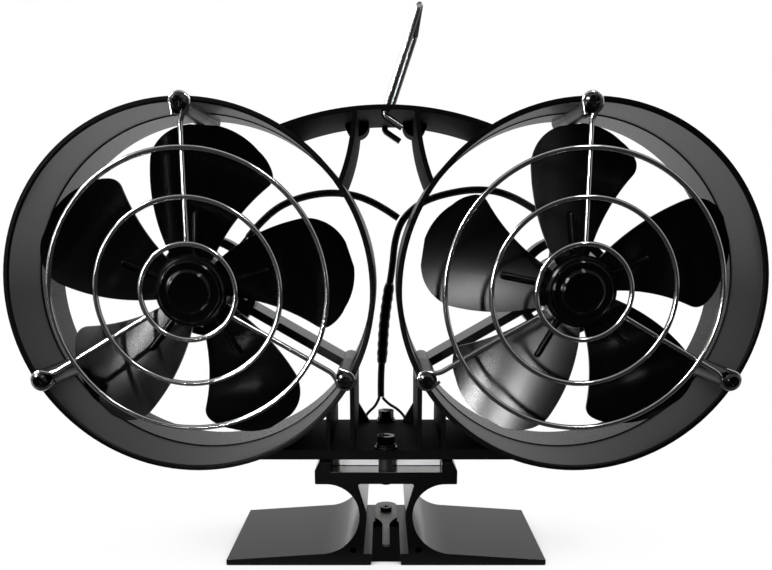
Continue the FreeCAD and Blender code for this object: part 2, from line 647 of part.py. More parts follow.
plate = box("foot_plate", "-Places.plate_half", "Places.frame_front", "Places.plate_bottom",
            "2 * Places.plate_half", "Places.ring_depth", "Sizes.plate_thickness")
arch_round = rod("arch_round", "Sizes.arch_radius", "Places.ring_depth", "0", "Places.frame_front",
                 "Places.arch_centre_z")
arch_space = rod("arch_space", "Sizes.arch_radius - Sizes.arch_thickness", "Places.ring_depth", "0",
                 "Places.frame_front", "Places.arch_centre_z")
ARCH_HALF = "(Places.ring_centre_x - 0.4 * Sizes.ring_outer_radius)"
arch_window = box("arch_window", "-" + ARCH_HALF, "Places.frame_front", "Places.axis_z", "2 * " + ARCH_HALF,
                  "Places.ring_depth", "Places.arch_rise")
arch = common("arch", [cut("arch_shell", arch_round, [arch_space]), arch_window])
foot_pieces = [plate]
arch_pieces = [arch]
ring_rounds = []
bosses = []


def gusset_shape(sign):
    """A triangle beside a post, drawn from the post's foot."""
    corners = [V(), V(-sign * size("gusset_width"), 0, 0), V(0, 0, size("gusset_height"))]
    face = Part.Face(Part.makePolygon(corners + corners[:1]))
    return face.extrude(V(0, size("gusset_thickness"), 0))


for side, sign in SIDES:
    axis_x = "%d * Places.ring_centre_x" % sign
    ring_round = rod("ring_round_" + side, "Sizes.ring_outer_radius", "Places.ring_depth", axis_x,
                     "Places.frame_front", "Places.axis_z")
    ring_rounds.append(ring_round)
    foot_pieces.append(box("rib_" + side, "%d * Sizes.rib_x - Sizes.rib_thickness / 2" % sign,
                           "Places.frame_front", "Places.plate_bottom", "Sizes.rib_thickness",
                           "Places.ring_depth", "Places.rib_top - Places.plate_bottom"))
    foot_pieces.append(box("post_" + side, "%d * Places.post_x - Sizes.post_thickness / 2" % sign,
                           "Places.frame_front", "Places.plate_bottom", "Sizes.post_thickness",
                           "Places.ring_depth", "Places.post_top - Places.plate_bottom"))
    gusset = shaped("gusset_" + side, gusset_shape(sign))
    foot_pieces.append(put(gusset, "%d * Places.post_x" % sign,
                           "Places.frame_rear - Sizes.gusset_inset - Sizes.gusset_thickness",
                           "Places.plate_top"))
    strut_x = "%d * (Sizes.strut_top_x + Sizes.strut_radius)" % sign
    strut_round = rod("strut_round_" + side, "Sizes.strut_radius + Sizes.strut_thickness / 2",
                      "Places.ring_depth", strut_x, "Places.frame_front", "Places.arch_top")
    strut_space = rod("strut_space_" + side, "Sizes.strut_radius - Sizes.strut_thickness / 2",
                      "Places.ring_depth", strut_x, "Places.frame_front", "Places.arch_top")
    window_x = "0" if sign > 0 else "-Places.ring_centre_x / 2"
    strut_window = box("strut_window_" + side, window_x, "Places.frame_front", "Places.axis_z",
                       "Places.ring_centre_x / 2", "Places.ring_depth", "Places.arch_rise")
    strut = common("strut_" + side, [cut("strut_shell_" + side, strut_round, [strut_space]), strut_window])
    arch_boss = rod("arch_boss_" + side, "Sizes.arch_boss_radius", "Sizes.arch_boss_length",
                    "%d * Sizes.arch_boss_x" % sign, "Places.arch_boss_front",
                    "Places.arch_top - Sizes.arch_boss_drop")
    strut_and_boss = fuse("strut_and_boss_" + side, [strut, arch_boss])
    arch_pieces.append(common("under_arch_" + side, [strut_and_boss, arch_round]))
    holder = cut("holder_" + side,
                 rod("holder_round_" + side, "Sizes.holder_outer_radius", "Sizes.holder_depth", axis_x,
                     "Places.arm_front", "Places.axis_z"),
                 [rod("holder_space_" + side, "Sizes.holder_outer_radius - Sizes.holder_wall",
                      "Sizes.holder_depth", axis_x, "Places.arm_front", "Places.axis_z")])
    arms = []
    seats = []
    screw_bores = []
    for angle in BOSS_ANGLES:
        name = "%s_%d" % (side, angle)
        boss_x = "%s + Places.boss_circle * cos(%d deg)" % (axis_x, angle)
        boss_z = "Places.axis_z + Places.boss_circle * sin(%d deg)" % angle
        seats.append(rod("boss_" + name, "Sizes.boss_radius", "Places.ring_depth", boss_x,
                         "Places.frame_front", boss_z))
        arms.append(spoke_box("arm_" + name, axis_x, "Places.arm_front", "Places.axis_z", angle,
                              "Places.holder_mid", "Places.boss_circle - Places.holder_mid", "Sizes.arm_depth",
                              "Sizes.arm_width"))
        arms.append(spoke_box("grip_" + name, axis_x, "Places.arm_front", "Places.axis_z", angle,
                              "Sizes.can_radius + Sizes.can_clearance",
                              "Places.holder_mid - Sizes.can_radius - Sizes.can_clearance",
                              "Sizes.holder_depth", "Sizes.grip_width"))
        screw_bores.append(rod("boss_bore_" + name, "Sizes.guard_screw_radius + Sizes.guard_screw_clearance",
                               "Sizes.boss_bore_depth", boss_x, "Places.frame_front", boss_z))
    bosses += seats
    ledge = "Places.ring_depth - Sizes.ring_band"
    ring_shell = turned(
        "ring_shell_" + side,
        [("Places.ring_inner + Sizes.ring_bevel", "0"), ("Sizes.ring_outer_radius", "0"),
         ("Sizes.ring_outer_radius", "Places.ring_depth"),
         ("Places.ring_inner - Sizes.ring_ledge", "Places.ring_depth"),
         ("Places.ring_inner - Sizes.ring_ledge", ledge), ("Places.ring_inner", ledge),
         ("Places.ring_inner", "Sizes.ring_bevel")],
        axis_x, "Places.frame_front", "Places.axis_z")
    ring_body = fuse("ring_with_bosses_" + side, [ring_shell] + seats)
    node("ring_" + side, cut("ring_cut_" + side, ring_body, screw_bores))
    node("motor_spider_" + side, cut("spider_" + side, fuse("spider_mass_" + side, [holder] + arms), seats))

clamp_holes = []
bail_holes = []
for number, sign in ((1, -1), (2, 1)):
    clamp_holes.append(rod("clamp_hole_%d" % number, "Sizes.sleeve_radius + Sizes.sleeve_clearance",
                           "Sizes.plate_thickness", "0", "%d * Places.clamp_y" % sign,
                           "Places.plate_bottom", "z"))
    bail_holes.append(rod("bail_hole_%d" % number, "Sizes.bail_hole_radius", "4 * Sizes.arch_thickness", "0",
                          "%d * Places.bail_leg_y" % sign,
                          "Places.bail_pivot_z - 2 * Sizes.arch_thickness", "z"))
rings_outside = fuse("rings_outside", ring_rounds + bosses)
foot_body = cut("foot_between_rings", fuse("foot_mass", foot_pieces), [rings_outside])
node("foot_bracket", cut("foot_cut", foot_body, clamp_holes))
arch_body = cut("arch_between_rings", fuse("arch_mass", arch_pieces), [rings_outside])
node("top_arch", cut("arch_cut", arch_body, bail_holes))

# Clamp screws that press the frame, the module and the base together

clamp_pieces = {"screws": [], "spring": [], "flat": [], "sleeves": []}
for number, sign in ((1, -1), (2, 1)):
    at_y = "%d * Places.clamp_y" % sign
    clamp_run = "Places.washer_top - Places.clamp_bottom"
    screw = turned(
        "clamp_screw_body_%d" % number,
        [("0", "0"), ("Sizes.clamp_radius", "0"), ("Sizes.clamp_radius", clamp_run),
         ("Sizes.clamp_head_radius", clamp_run),
         ("Sizes.clamp_head_radius", clamp_run + " + Sizes.clamp_head_height"),
         ("0", clamp_run + " + Sizes.clamp_head_height")],
        "0", at_y, "Places.clamp_bottom", "z")
    socket = doc.addObject("Part::Prism", "clamp_socket_%d" % number)
    socket.Polygon = 6
    socket.setExpression("Circumradius", "Sizes.clamp_socket")
    socket.setExpression("Height", "Sizes.clamp_socket_depth")
    put(socket, "0", at_y, "Places.washer_top + Sizes.clamp_head_height - Sizes.clamp_socket_depth")
    clamp_pieces["screws"].append(cut("clamp_screw_cut_%d" % number, screw, [socket]))
    screw_bore = "Sizes.clamp_radius + Sizes.clamp_clearance"
    clamp_pieces["spring"].append(turned(
        "spring_washer_body_%d" % number,
        ring_corners(screw_bore, "Sizes.spring_washer_radius", "Sizes.spring_washer_thickness"),
        "0", at_y, "Places.plate_top + Sizes.flat_washer_thickness", "z"))
    clamp_pieces["flat"].append(turned(
        "flat_washer_body_%d" % number,
        ring_corners(screw_bore, "Sizes.flat_washer_radius", "Sizes.flat_washer_thickness"),
        "0", at_y, "Places.plate_top", "z"))
    clamp_pieces["sleeves"].append(turned(
        "sleeve_body_%d" % number,
        ring_corners(screw_bore, "Sizes.sleeve_radius", "Places.plate_top - Sizes.tray_floor"),
        "0", at_y, "Sizes.tray_floor", "z"))
node("clamp_screws", group("clamp_screw_group", clamp_pieces["screws"]))
node("clamp_spring_washers", group("spring_washer_group", clamp_pieces["spring"]))
node("clamp_flat_washers", group("flat_washer_group", clamp_pieces["flat"]))
node("clamp_sleeves", group("sleeve_group", clamp_pieces["sleeves"]))

# Wire guards: three rings welded to the fronts of three spokes with open eyes

def guard_spoke(angle):
    """One bent spoke, from the inner ring to its eye round a boss axis, turned to its angle."""
    eye = V(0, 0, place("boss_circle"))
    loop = size("guard_eye")
    bend = size("guard_bend")
    drop = math.sqrt(loop ** 2 + 2 * loop * bend)
    bend_centre = V(bend, 0, eye.z - drop)
    leave = math.degrees(math.atan2(-drop, bend))
    loop_end = 190.0
    tail_start = along_circle(eye, loop, loop_end)
    tail_end = tail_start + along_circle(V(), size("guard_tail"), loop_end + 90)
    edges = [
        line(V(0, 0, size("guard_inner")), V(0, 0, eye.z - drop)),
        arc(along_circle(bend_centre, bend, 180), along_circle(bend_centre, bend, 180 + (leave + 90) / 2 - 45),
            along_circle(bend_centre, bend, 180 + leave)),
        arc(along_circle(eye, loop, leave), along_circle(eye, loop, (leave + loop_end) / 2),
            tail_start),
        line(tail_start, tail_end),
    ]
    spoke = tube(edges, size("guard_wire") / 2)
    spoke.rotate(V(), V(0, 1, 0), 90 - angle)
    return spoke


def guard_shape():
    wire = size("guard_wire") / 2
    ring_y = -(size("guard_wire") - size("guard_weld"))
    rings = [Part.makeTorus(size(ring), wire, V(0, ring_y, 0), V(0, 1, 0))
             for ring in ("guard_outer", "guard_middle", "guard_inner")]
    spokes = [guard_spoke(angle) for angle in BOSS_ANGLES]
    return rings[0].multiFuse(rings[1:] + spokes)


for side, sign in SIDES:
    axis_x = "%d * Places.ring_centre_x" % sign
    guard = shaped("guard_wires_" + side, guard_shape())
    node("guard_" + side, put(guard, axis_x, "Places.guard_y", "Places.axis_z"))
    screws = []
    for angle in BOSS_ANGLES:
        name = "guard_screw_%s_%d" % (side, angle)
        boss_x = "%s + Places.boss_circle * cos(%d deg)" % (axis_x, angle)
        boss_z = "Places.axis_z + Places.boss_circle * sin(%d deg)" % angle
        head_y = "Places.frame_front - Sizes.guard_wire - Sizes.guard_head_height"
        full = "Sizes.guard_head_height + Sizes.guard_screw_length"
        screw = turned(
            name,
            [("0", "0"), ("Sizes.guard_head_radius * 0.7", "0"),
             ("Sizes.guard_head_radius", "Sizes.guard_head_height * 0.4"),
             ("Sizes.guard_head_radius", "Sizes.guard_head_height"),
             ("Sizes.guard_screw_radius", "Sizes.guard_head_height"), ("Sizes.guard_screw_radius", full),
             ("0", full)],
            boss_x, head_y, boss_z)
        screws.append(cut(name + "_cut", screw, [cross_recess(name + "_recess", boss_x, head_y, boss_z, "y")]))
    node("guard_screws_" + side, group("guard_screw_group_" + side, screws))

# Motors: the fixed pieces and the turning ones

for side, sign in SIDES:
    axis_x = "%d * Places.ring_centre_x" % sign
    shaft_bore = "Sizes.shaft_radius + Sizes.shaft_clearance"
    node("motor_can_" + side, turned(
        "can_body_" + side,
        [("Sizes.bush_radius", "0"), ("Sizes.can_radius", "0"), ("Sizes.can_radius", "Sizes.can_length"),
         ("Places.magnet_outer", "Sizes.can_length"), ("Places.magnet_outer", "Sizes.can_wall"),
         ("Sizes.bush_radius", "Sizes.can_wall")],
        axis_x, "Places.can_front_y", "Places.axis_z"))
    node("motor_bush_" + side, turned(
        "bush_body_" + side, ring_corners(shaft_bore, "Sizes.bush_radius", "Sizes.bush_length"),
        axis_x, "Places.can_front_y - Sizes.bush_reach", "Places.axis_z"))
    magnet_tube = turned(
        "magnet_tube_" + side,
        ring_corners("Places.magnet_inner", "Places.magnet_outer", "Sizes.magnet_length"),
        axis_x, "Places.can_front_y + Sizes.magnet_offset", "Places.axis_z")
    magnet_split = box("magnet_split_" + side, axis_x + " - Sizes.magnet_gap / 2",
                       "Places.can_front_y + Sizes.magnet_offset", "Places.axis_z - Sizes.can_radius",
                       "Sizes.magnet_gap", "Sizes.magnet_length", "2 * Sizes.can_radius")
    node("motor_magnets_" + side, cut("magnet_cut_" + side, magnet_tube, [magnet_split]))
    shaft_end = "Sizes.end_cap_length - Sizes.end_cap_floor"
    node("motor_end_cap_" + side, turned(
        "end_cap_body_" + side,
        [(shaft_bore, "0"), ("Sizes.can_radius", "0"), ("Sizes.can_radius", "Sizes.end_cap_length"),
         ("0", "Sizes.end_cap_length"), ("0", shaft_end), (shaft_bore, shaft_end)],
        axis_x, "Places.can_rear_y", "Places.axis_z"))
    tabs = [
        box("terminal_%s_%d" % (side, number),
            "%s + %d * Sizes.terminal_x - Sizes.terminal_width / 2" % (axis_x, hand), "Places.motor_rear_y",
            "Places.axis_z - Sizes.terminal_thickness / 2", "Sizes.terminal_width",
            "Sizes.terminal_length", "Sizes.terminal_thickness")
        for number, hand in ((1, -1), (2, 1))
    ]
    node("motor_terminals_" + side, group("terminal_group_" + side, tabs))
    shaft_front = "Places.hub_front_y + Sizes.hub_wall"
    node("motor_shaft_" + side, turned(
        "shaft_body_" + side,
        [("0", "0"), ("Sizes.shaft_radius", "0"),
         ("Sizes.shaft_radius", "Places.can_rear_y - (%s) + (%s) / 2" % (shaft_front, shaft_end)),
         ("0", "Places.can_rear_y - (%s) + (%s) / 2" % (shaft_front, shaft_end))],
        axis_x, shaft_front, "Places.axis_z"))
    node("motor_armature_" + side, turned(
        "armature_body_" + side,
        [("Sizes.shaft_radius", "0"), ("Places.armature_radius", "0"),
         ("Places.armature_radius", "Sizes.armature_length"),
         ("Sizes.commutator_radius", "Sizes.armature_length"),
         ("Sizes.commutator_radius", "Sizes.armature_length + Sizes.commutator_length"),
         ("Sizes.shaft_radius", "Sizes.armature_length + Sizes.commutator_length")],
        axis_x, "Places.can_front_y + Sizes.magnet_offset + (Sizes.magnet_length - Sizes.armature_length) / 2",
        "Places.axis_z"))

# Impellers: a moulded hub with five pitched, cambered blades, a brass insert and a cap

def blade_outline():
    """Front view of a blade with its line along +Z, as six arcs and a straight root inside the hub."""
    root = size("hub_radius") - size("hub_wall") / 2
    span = place("blade_tip") - root

    def at(share, degrees):
        return along_circle(V(), root + share * span, 90 + degrees)

    return [
        arc(at(0, 34), at(0.37, 24), at(0.784, 15)),
        arc(at(0.784, 15), at(0.948, 6.9), at(0.99, 2)),
        arc(at(0.99, 2), at(1, -15.7), at(0.935, -25)),
        arc(at(0.935, -25), at(0.9, -29.3), at(0.85, -33.1)),
        arc(at(0.85, -33.1), at(0.802, -35.07), at(0.743, -35.4)),
        arc(at(0.743, -35.4), at(0.42, -30.7), at(0, -30)),
        line(at(0, -30), at(0, 34)),
    ]


def blade_shape():
    """One blade in the impeller's frame: the outline's column cut by a bent sheet, plus the root rib."""
    pitch = math.radians(size("blade_pitch"))
    bend = size("blade_camber")
    thick = size("blade_thickness")
    tip = place("blade_tip")
    middle_x = size("blade_middle")
    belly = tip ** 2 / (32 * bend)
    middle_y = size("blade_plane") + middle_x * math.tan(pitch) + belly
    centre = V(middle_x + bend * math.sin(pitch), middle_y - bend * math.cos(pitch), 0)
    column = Part.Face(Part.Wire(blade_outline())).extrude(V(0, 2 * size("hub_length"), 0))
    column.translate(V(0, -size("hub_length") / 2, 0))
    outside = Part.makeCylinder(bend + thick / 2, 2 * tip, V(centre.x, centre.y, -tip))
    inside = Part.makeCylinder(bend - thick / 2, 2 * tip, V(centre.x, centre.y, -tip))
    sheet_piece = column.common(outside.cut(inside))
    rib_radius = size("root_rib_radius")
    rib_y = centre.y + math.sqrt(bend ** 2 - centre.x ** 2) - rib_radius / 2
    rib_start = size("hub_radius") - size("hub_wall") / 2
    rib = Part.makeCylinder(rib_radius, size("root_rib_end") - rib_start, V(0, rib_y, rib_start))
    rib_tip = Part.makeSphere(rib_radius, V(0, rib_y, size("root_rib_end")))
    ribs = [rib, rib_tip]
    for piece in ribs:
        piece.rotate(V(), V(0, 1, 0), size("root_rib_turn"))
    return sheet_piece.fuse(ribs)


def blades_shape(turn):
    blades = []
    for number in range(BLADE_COUNT):
        blade = blade_shape()
        blade.rotate(V(), V(0, 1, 0), 90 - turn - number * 360 / BLADE_COUNT)
        blades.append(blade)
    return Part.makeCompound(blades)


for side, sign in SIDES:
    axis_x = "%d * Places.ring_centre_x" % sign
    hub = turned(
        "hub_body_" + side,
        [("Sizes.insert_radius", "0"), ("Sizes.hub_radius - Sizes.hub_edge", "0"),
         ("Sizes.hub_radius", "Sizes.hub_edge"), ("Sizes.hub_radius", "Sizes.hub_step_depth"),
         ("Sizes.hub_radius + Sizes.hub_step", "Sizes.hub_step_depth"),
         ("Sizes.hub_radius + Sizes.hub_step", "Sizes.hub_length"),
         ("Sizes.hub_radius - Sizes.hub_wall", "Sizes.hub_length"),
         ("Sizes.hub_radius - Sizes.hub_wall", "Sizes.hub_wall"),
         ("Sizes.hub_boss_radius", "Sizes.hub_wall"), ("Sizes.hub_boss_radius", "Sizes.hub_boss_length"),
         ("Sizes.insert_radius", "Sizes.hub_boss_length")],
        axis_x, "Places.hub_front_y", "Places.axis_z")
    blades = shaped("blades_" + side, blades_shape(size(side + "_turn")))
    put(blades, axis_x, "Places.hub_front_y", "Places.axis_z")
    node("impeller_" + side, fuse("impeller_body_" + side, [hub, blades]))
    node("hub_insert_" + side, turned(
        "insert_body_" + side,
        [("Sizes.shaft_radius", "Sizes.hub_wall"), ("Sizes.shaft_radius", "Sizes.insert_length"),
         ("Sizes.insert_radius", "Sizes.insert_length"), ("Sizes.insert_radius", "0"), ("0", "0"),
         ("0", "Sizes.hub_wall")],
        axis_x, "Places.hub_front_y", "Places.axis_z"))
    node("hub_cap_" + side, turned(
        "hub_cap_body_" + side,
        [("0", "0"), ("Sizes.cap_button_radius - Sizes.cap_edge", "0"),
         ("Sizes.cap_button_radius", "Sizes.cap_edge"), ("Sizes.cap_button_radius", "Sizes.cap_button_height"),
         ("Sizes.cap_radius - Sizes.cap_edge", "Sizes.cap_button_height"),
         ("Sizes.cap_radius", "Sizes.cap_button_height + Sizes.cap_edge"),
         ("Sizes.cap_radius", "Sizes.cap_button_height + Sizes.cap_flange"),
         ("0", "Sizes.cap_button_height + Sizes.cap_flange")],
        axis_x, "Places.hub_front_y - Sizes.cap_button_height - Sizes.cap_flange", "Places.axis_z"))

# Carrying bail: one bent wire whose hooks hold it under the arch

def bail_leg_edges(y, corner_y):
    """From a hook's end, up one leg to the start of its upper bend."""
    drop = size("bail_drop")
    bend = size("bail_hook_bend")
    fall = size("bail_hook_fall")
    height = size("bail_height")
    centre = V(bend, 0, -drop)
    bend_end = along_circle(centre, bend, 270 - fall, y)
    turn = math.radians(fall)
    heading = V(math.cos(turn), 0, -math.sin(turn))
    corner = abs(corner_y - y)
    return [
        line(bend_end + heading * size("bail_hook_length"), bend_end),
        arc(bend_end, along_circle(centre, bend, 225 - fall / 2, y), V(0, y, -drop)),
        line(V(0, y, -drop), V(0, y, height - corner)),
    ]


def bail_shape():
    leg_y = place("bail_leg_y")
    corner = size("bail_corner")
    height = size("bail_height")
    soft = corner * (1 - math.sqrt(0.5))
    front = bail_leg_edges(-leg_y, corner - leg_y)
    rear = bail_leg_edges(leg_y, leg_y - corner)
    top = [
        arc(V(0, -leg_y, height - corner), V(0, soft - leg_y, height - soft), V(0, corner - leg_y, height)),
        line(V(0, corner - leg_y, height), V(0, leg_y - corner, height)),
        arc(V(0, leg_y - corner, height), V(0, leg_y - soft, height - soft), V(0, leg_y, height - corner)),
    ]
    bail = tube(front + top + rear[::-1], size("bail_wire") / 2)
    bail.rotate(V(), V(0, 1, 0), size("bail_lean"))
    return bail


bail = shaped("bail_wire_shape", bail_shape())
node("carry_handle", put(bail, "0", "0", "Places.bail_pivot_z"))

# Leads behind the frame: routes chosen by hand, tied to the fan axes, the foot plate and the terminals

def by_axis(share, rise, back):
    """A point behind the frame, at a share of the way from the middle to a fan axis, above the fan axes."""
    return V(share * place("ring_centre_x"), place("frame_rear") + back, place("axis_z") + rise)


def by_plate(x, rise, back):
    """A point behind the frame, above the underside of the foot plate."""
    return V(x, place("frame_rear") + back, place("plate_bottom") + rise)


def by_terminal(sign, number, x, back, rise):
    """A point behind the end of a motor terminal; number is -1 for the terminal towards -X."""
    end = place("motor_rear_y") + size("terminal_length")
    middle = sign * place("ring_centre_x") + number * size("terminal_x")
    return V(middle + x, end + back, place("axis_z") + rise)


LEAD_BACK = 1.9
TRUNK_BACK = 1.4
LEAD_LEFT = (by_axis(-0.816, 19.7, LEAD_BACK), by_axis(-0.695, 30.2, LEAD_BACK),
             by_axis(-0.513, 36.8, LEAD_BACK), by_axis(-0.297, 39.2, LEAD_BACK),
             by_axis(-0.081, 35.8, LEAD_BACK), by_axis(0.072, 27.9, LEAD_BACK))
LEAD_RIGHT = (by_axis(0.884, 31.0, LEAD_BACK), by_axis(0.742, 37.8, LEAD_BACK),
              by_axis(0.54, 40.5, LEAD_BACK), by_axis(0.331, 38.0, LEAD_BACK),
              by_axis(0.196, 34.2, LEAD_BACK), by_axis(0.093, 27.4, LEAD_BACK),
              by_axis(0.051, 18.2, LEAD_BACK), by_axis(0.039, 7.2, TRUNK_BACK))
TRUNK_SLEEVED = (by_axis(0.012, -4.8, TRUNK_BACK), by_axis(-0.012, -17.8, TRUNK_BACK),
                 by_axis(-0.022, -31.8, TRUNK_BACK))
TRUNK_END = (by_plate(-2.4, 22.8, TRUNK_BACK), by_plate(-2.3, 14.3, TRUNK_BACK))
TAIL_LEFT = (by_plate(-3.05, 13.9, 1.4), by_plate(-4.4, 10.0, 1.6), by_plate(-8.4, 6.6, 2.0),
             by_plate(-10.3, 2.8, 2.3), by_plate(-10.1, -2.9, -0.3), by_plate(-10.0, -2.3, -6.2))
TAIL_RIGHT = (by_plate(-1.55, 13.8, 1.4), by_plate(0.6, 11.0, 1.6), by_plate(5.6, 8.2, 2.0),
              by_plate(9.6, 3.2, 2.3), by_plate(10.0, -2.9, -0.3), by_plate(9.9, -2.3, -6.2))
WIRES_LEFT = (
    (by_terminal(-1, -1, 0, 0.35, 0), by_terminal(-1, -1, 0.7, 4.4, 1.8), by_axis(-0.993, 7.4, LEAD_BACK),
     by_axis(-0.895, 13.9, LEAD_BACK), by_axis(-0.8237, 20.03, LEAD_BACK)),
    (by_terminal(-1, 1, 0, 0.35, 0), by_terminal(-1, 1, -0.3, 4.4, 1.7), by_axis(-0.918, 8.0, LEAD_BACK),
     by_axis(-0.864, 14.65, LEAD_BACK), by_axis(-0.811, 19.22, LEAD_BACK)),
)
WIRES_RIGHT = (
    (by_terminal(1, -1, 0, 0.35, 0), by_terminal(1, -1, 0.5, 4.4, 1.6), by_axis(0.97, 8.2, LEAD_BACK),
     by_axis(0.985, 18.2, LEAD_BACK), by_axis(0.9485, 27.17, LEAD_BACK), by_axis(0.8806, 30.43, LEAD_BACK)),
    (by_terminal(1, 1, 0, 0.35, 0), by_terminal(1, 1, -0.2, 4.4, 1.8), by_axis(1.086, 9.7, LEAD_BACK),
     by_axis(1.043, 19.7, LEAD_BACK), by_axis(0.9575, 28.2, LEAD_BACK), by_axis(0.8896, 31.47, LEAD_BACK)),
)


def cord(name, points, radius, bore=0.0):
    edges = cord_edges(points, name)
    shape = tube(edges, radius, bore)
    expected = math.pi * (radius ** 2 - bore ** 2) * sum(edge.Length for edge in edges)
    print(name, "volume", round(shape.Volume, 1), "section times length", round(expected, 1))
    return shape


lead_radius = size("lead_diameter") / 2
node("lead_left", shaped("lead_left_tube", cord("lead_left", LEAD_LEFT, lead_radius)))
trunk_points = LEAD_RIGHT + TRUNK_SLEEVED + TRUNK_END
node("lead_right", shaped("lead_right_tube", cord("lead_right", trunk_points, lead_radius)))
trunk_edges = cord_edges(trunk_points, "trunk for the sleeve")
sleeve_start = 2 * len(LEAD_RIGHT) - 1
sleeve_edges = trunk_edges[sleeve_start:sleeve_start + 2 * len(TRUNK_SLEEVED) - 1]
sleeve = tube(sleeve_edges, size("lead_sleeve_radius"), size("lead_sleeve_bore"))
node("lead_sleeve", shaped("lead_sleeve_tube", sleeve))
tail_radius = size("tail_diameter") / 2
node("lead_tail_left", shaped("lead_tail_left_tube", cord("lead_tail_left", TAIL_LEFT, tail_radius)))
node("lead_tail_right", shaped("lead_tail_right_tube", cord("lead_tail_right", TAIL_RIGHT, tail_radius)))
wire_radius = size("motor_wire_diameter") / 2
for side, routes in (("left", WIRES_LEFT), ("right", WIRES_RIGHT)):
    wires = [cord("motor_wires_" + side, route, wire_radius) for route in routes]
    node("motor_wires_" + side, shaped("motor_wire_tubes_" + side, Part.makeCompound(wires)))

# Check everything, then write one file for each sub-part

doc.recompute()
failed = [obj.Name for obj in doc.Objects if "Invalid" in obj.State or "Error" in obj.State]
for obj in nodes:
    if obj.Shape.isNull() or not obj.Shape.isValid() or not obj.Shape.Solids:
        failed.append(obj.Label)
if failed:
    raise RuntimeError("failed objects: " + ", ".join(failed))
os.makedirs("parts", exist_ok=True)
for obj in nodes:
    obj.Shape.exportStep("parts/%s.step" % obj.Label)
    print(obj.Label, "solids", len(obj.Shape.Solids), "volume", round(obj.Shape.Volume, 1))
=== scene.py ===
import bpy
import bmesh
import json
import math
from mathutils import Matrix, Vector


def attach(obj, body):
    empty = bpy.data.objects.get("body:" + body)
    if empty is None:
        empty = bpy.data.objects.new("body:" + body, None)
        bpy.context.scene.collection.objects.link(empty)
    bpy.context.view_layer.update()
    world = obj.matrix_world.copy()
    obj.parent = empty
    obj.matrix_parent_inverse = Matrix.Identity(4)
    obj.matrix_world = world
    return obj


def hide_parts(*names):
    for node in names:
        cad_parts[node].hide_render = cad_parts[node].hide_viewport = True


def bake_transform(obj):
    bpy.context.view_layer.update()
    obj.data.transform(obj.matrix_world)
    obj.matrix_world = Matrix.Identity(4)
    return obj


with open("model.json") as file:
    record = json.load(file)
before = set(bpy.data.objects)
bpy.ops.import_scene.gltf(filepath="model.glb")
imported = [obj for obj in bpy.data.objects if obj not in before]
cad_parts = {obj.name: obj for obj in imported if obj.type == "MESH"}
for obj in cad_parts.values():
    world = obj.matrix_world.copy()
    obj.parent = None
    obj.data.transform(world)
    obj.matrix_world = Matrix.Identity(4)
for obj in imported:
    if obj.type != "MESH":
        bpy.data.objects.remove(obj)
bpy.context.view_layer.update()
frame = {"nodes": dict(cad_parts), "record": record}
NODES = frame["nodes"]
SIDES = (("left", -1), ("right", 1))
MM = 0.001

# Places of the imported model, in millimetres
RING_X = 74.1
AXIS_Z = 108.8
GUARD_Y = -28.0
GUARD_RING_Y = -29.7
GUARD_RINGS = (52.0, 34.6, 17.85)
GUARD_ANGLES = (90, 210, 330)
CLAMP_Y = 23.5
RING_LEDGE_Y = 3.1
RING_BORE = 68.7
TRAY_FLOOR = 38.7
TRAY_HALF = 22.0


def point(x, y, z):
    """A place given in millimetres."""
    return Vector((x, y, z)) * MM


def link(name, data):
    piece = bpy.data.objects.new(name, data)
    bpy.context.scene.collection.objects.link(piece)
    return piece


# Camera at the photograph's viewing angle

SENSOR_WIDTH = 36.0
LENS = 38.24
LENS_SHIFT = 0.1624
NEAREST = 0.01
CAMERA_PLACE = (0.0, -0.33865, 0.1313)
CAMERA_TILT = math.radians(77.65)


def add_camera():
    data = bpy.data.cameras.new("camera")
    data.sensor_width = SENSOR_WIDTH
    data.lens = LENS
    data.shift_y = LENS_SHIFT
    data.clip_start = NEAREST
    camera = link("camera", data)
    camera.location = CAMERA_PLACE
    camera.rotation_euler = (CAMERA_TILT, 0.0, 0.0)
    bpy.context.scene.camera = camera


add_camera()


# Materials: every one varies in colour, roughness and relief

# Grains per metre, relief and radii in metres, specular levels
CLOUDS = 60.0
COAT_SPECKS = 2200.0
COAT_RELIEF = 0.000012
COAT_EDGE = 0.00025
BEVEL_SAMPLES = 6
RING_CLOUD_SHARE = 0.18
RING_PAINTED_SHEEN_SHARE = 0.8
RING_LEVEL = 0.17
MATT_LEVEL = 0.35
DIE_LINES = (2600.0, 14.0, 2600.0)
DIE_CLOUDS = 45.0
DIE_RELIEF = 0.000005
SHEET_LINES = (2400.0, 60.0, 2400.0)
WINDING_LINES = (1.0, 2600.0, 1.0)
METAL_SMEARS = 180.0
BARE_METAL = (0.4, 0.4, 0.39, 1.0)
SEAT_DEPTH = 0.0002
KNURL_GRAIN = 1500.0
KNURL_RIM = 3.3
KNURL_TEETH = 36.0
KNURL_DEPTH = 0.0002
BRAID_SCALE = 420.0
BRAID_RELIEF = 0.00012
BRAID_GRAIN = 900.0


def fill_ramp(ramp, stops):
    """Gives a colour ramp its stops, each a position and a colour."""
    while len(ramp.elements) < len(stops):
        ramp.elements.new(0.5)
    for element, (position, colour) in zip(ramp.elements, stops):
        element.position = position
        element.color = (*colour, 1.0)


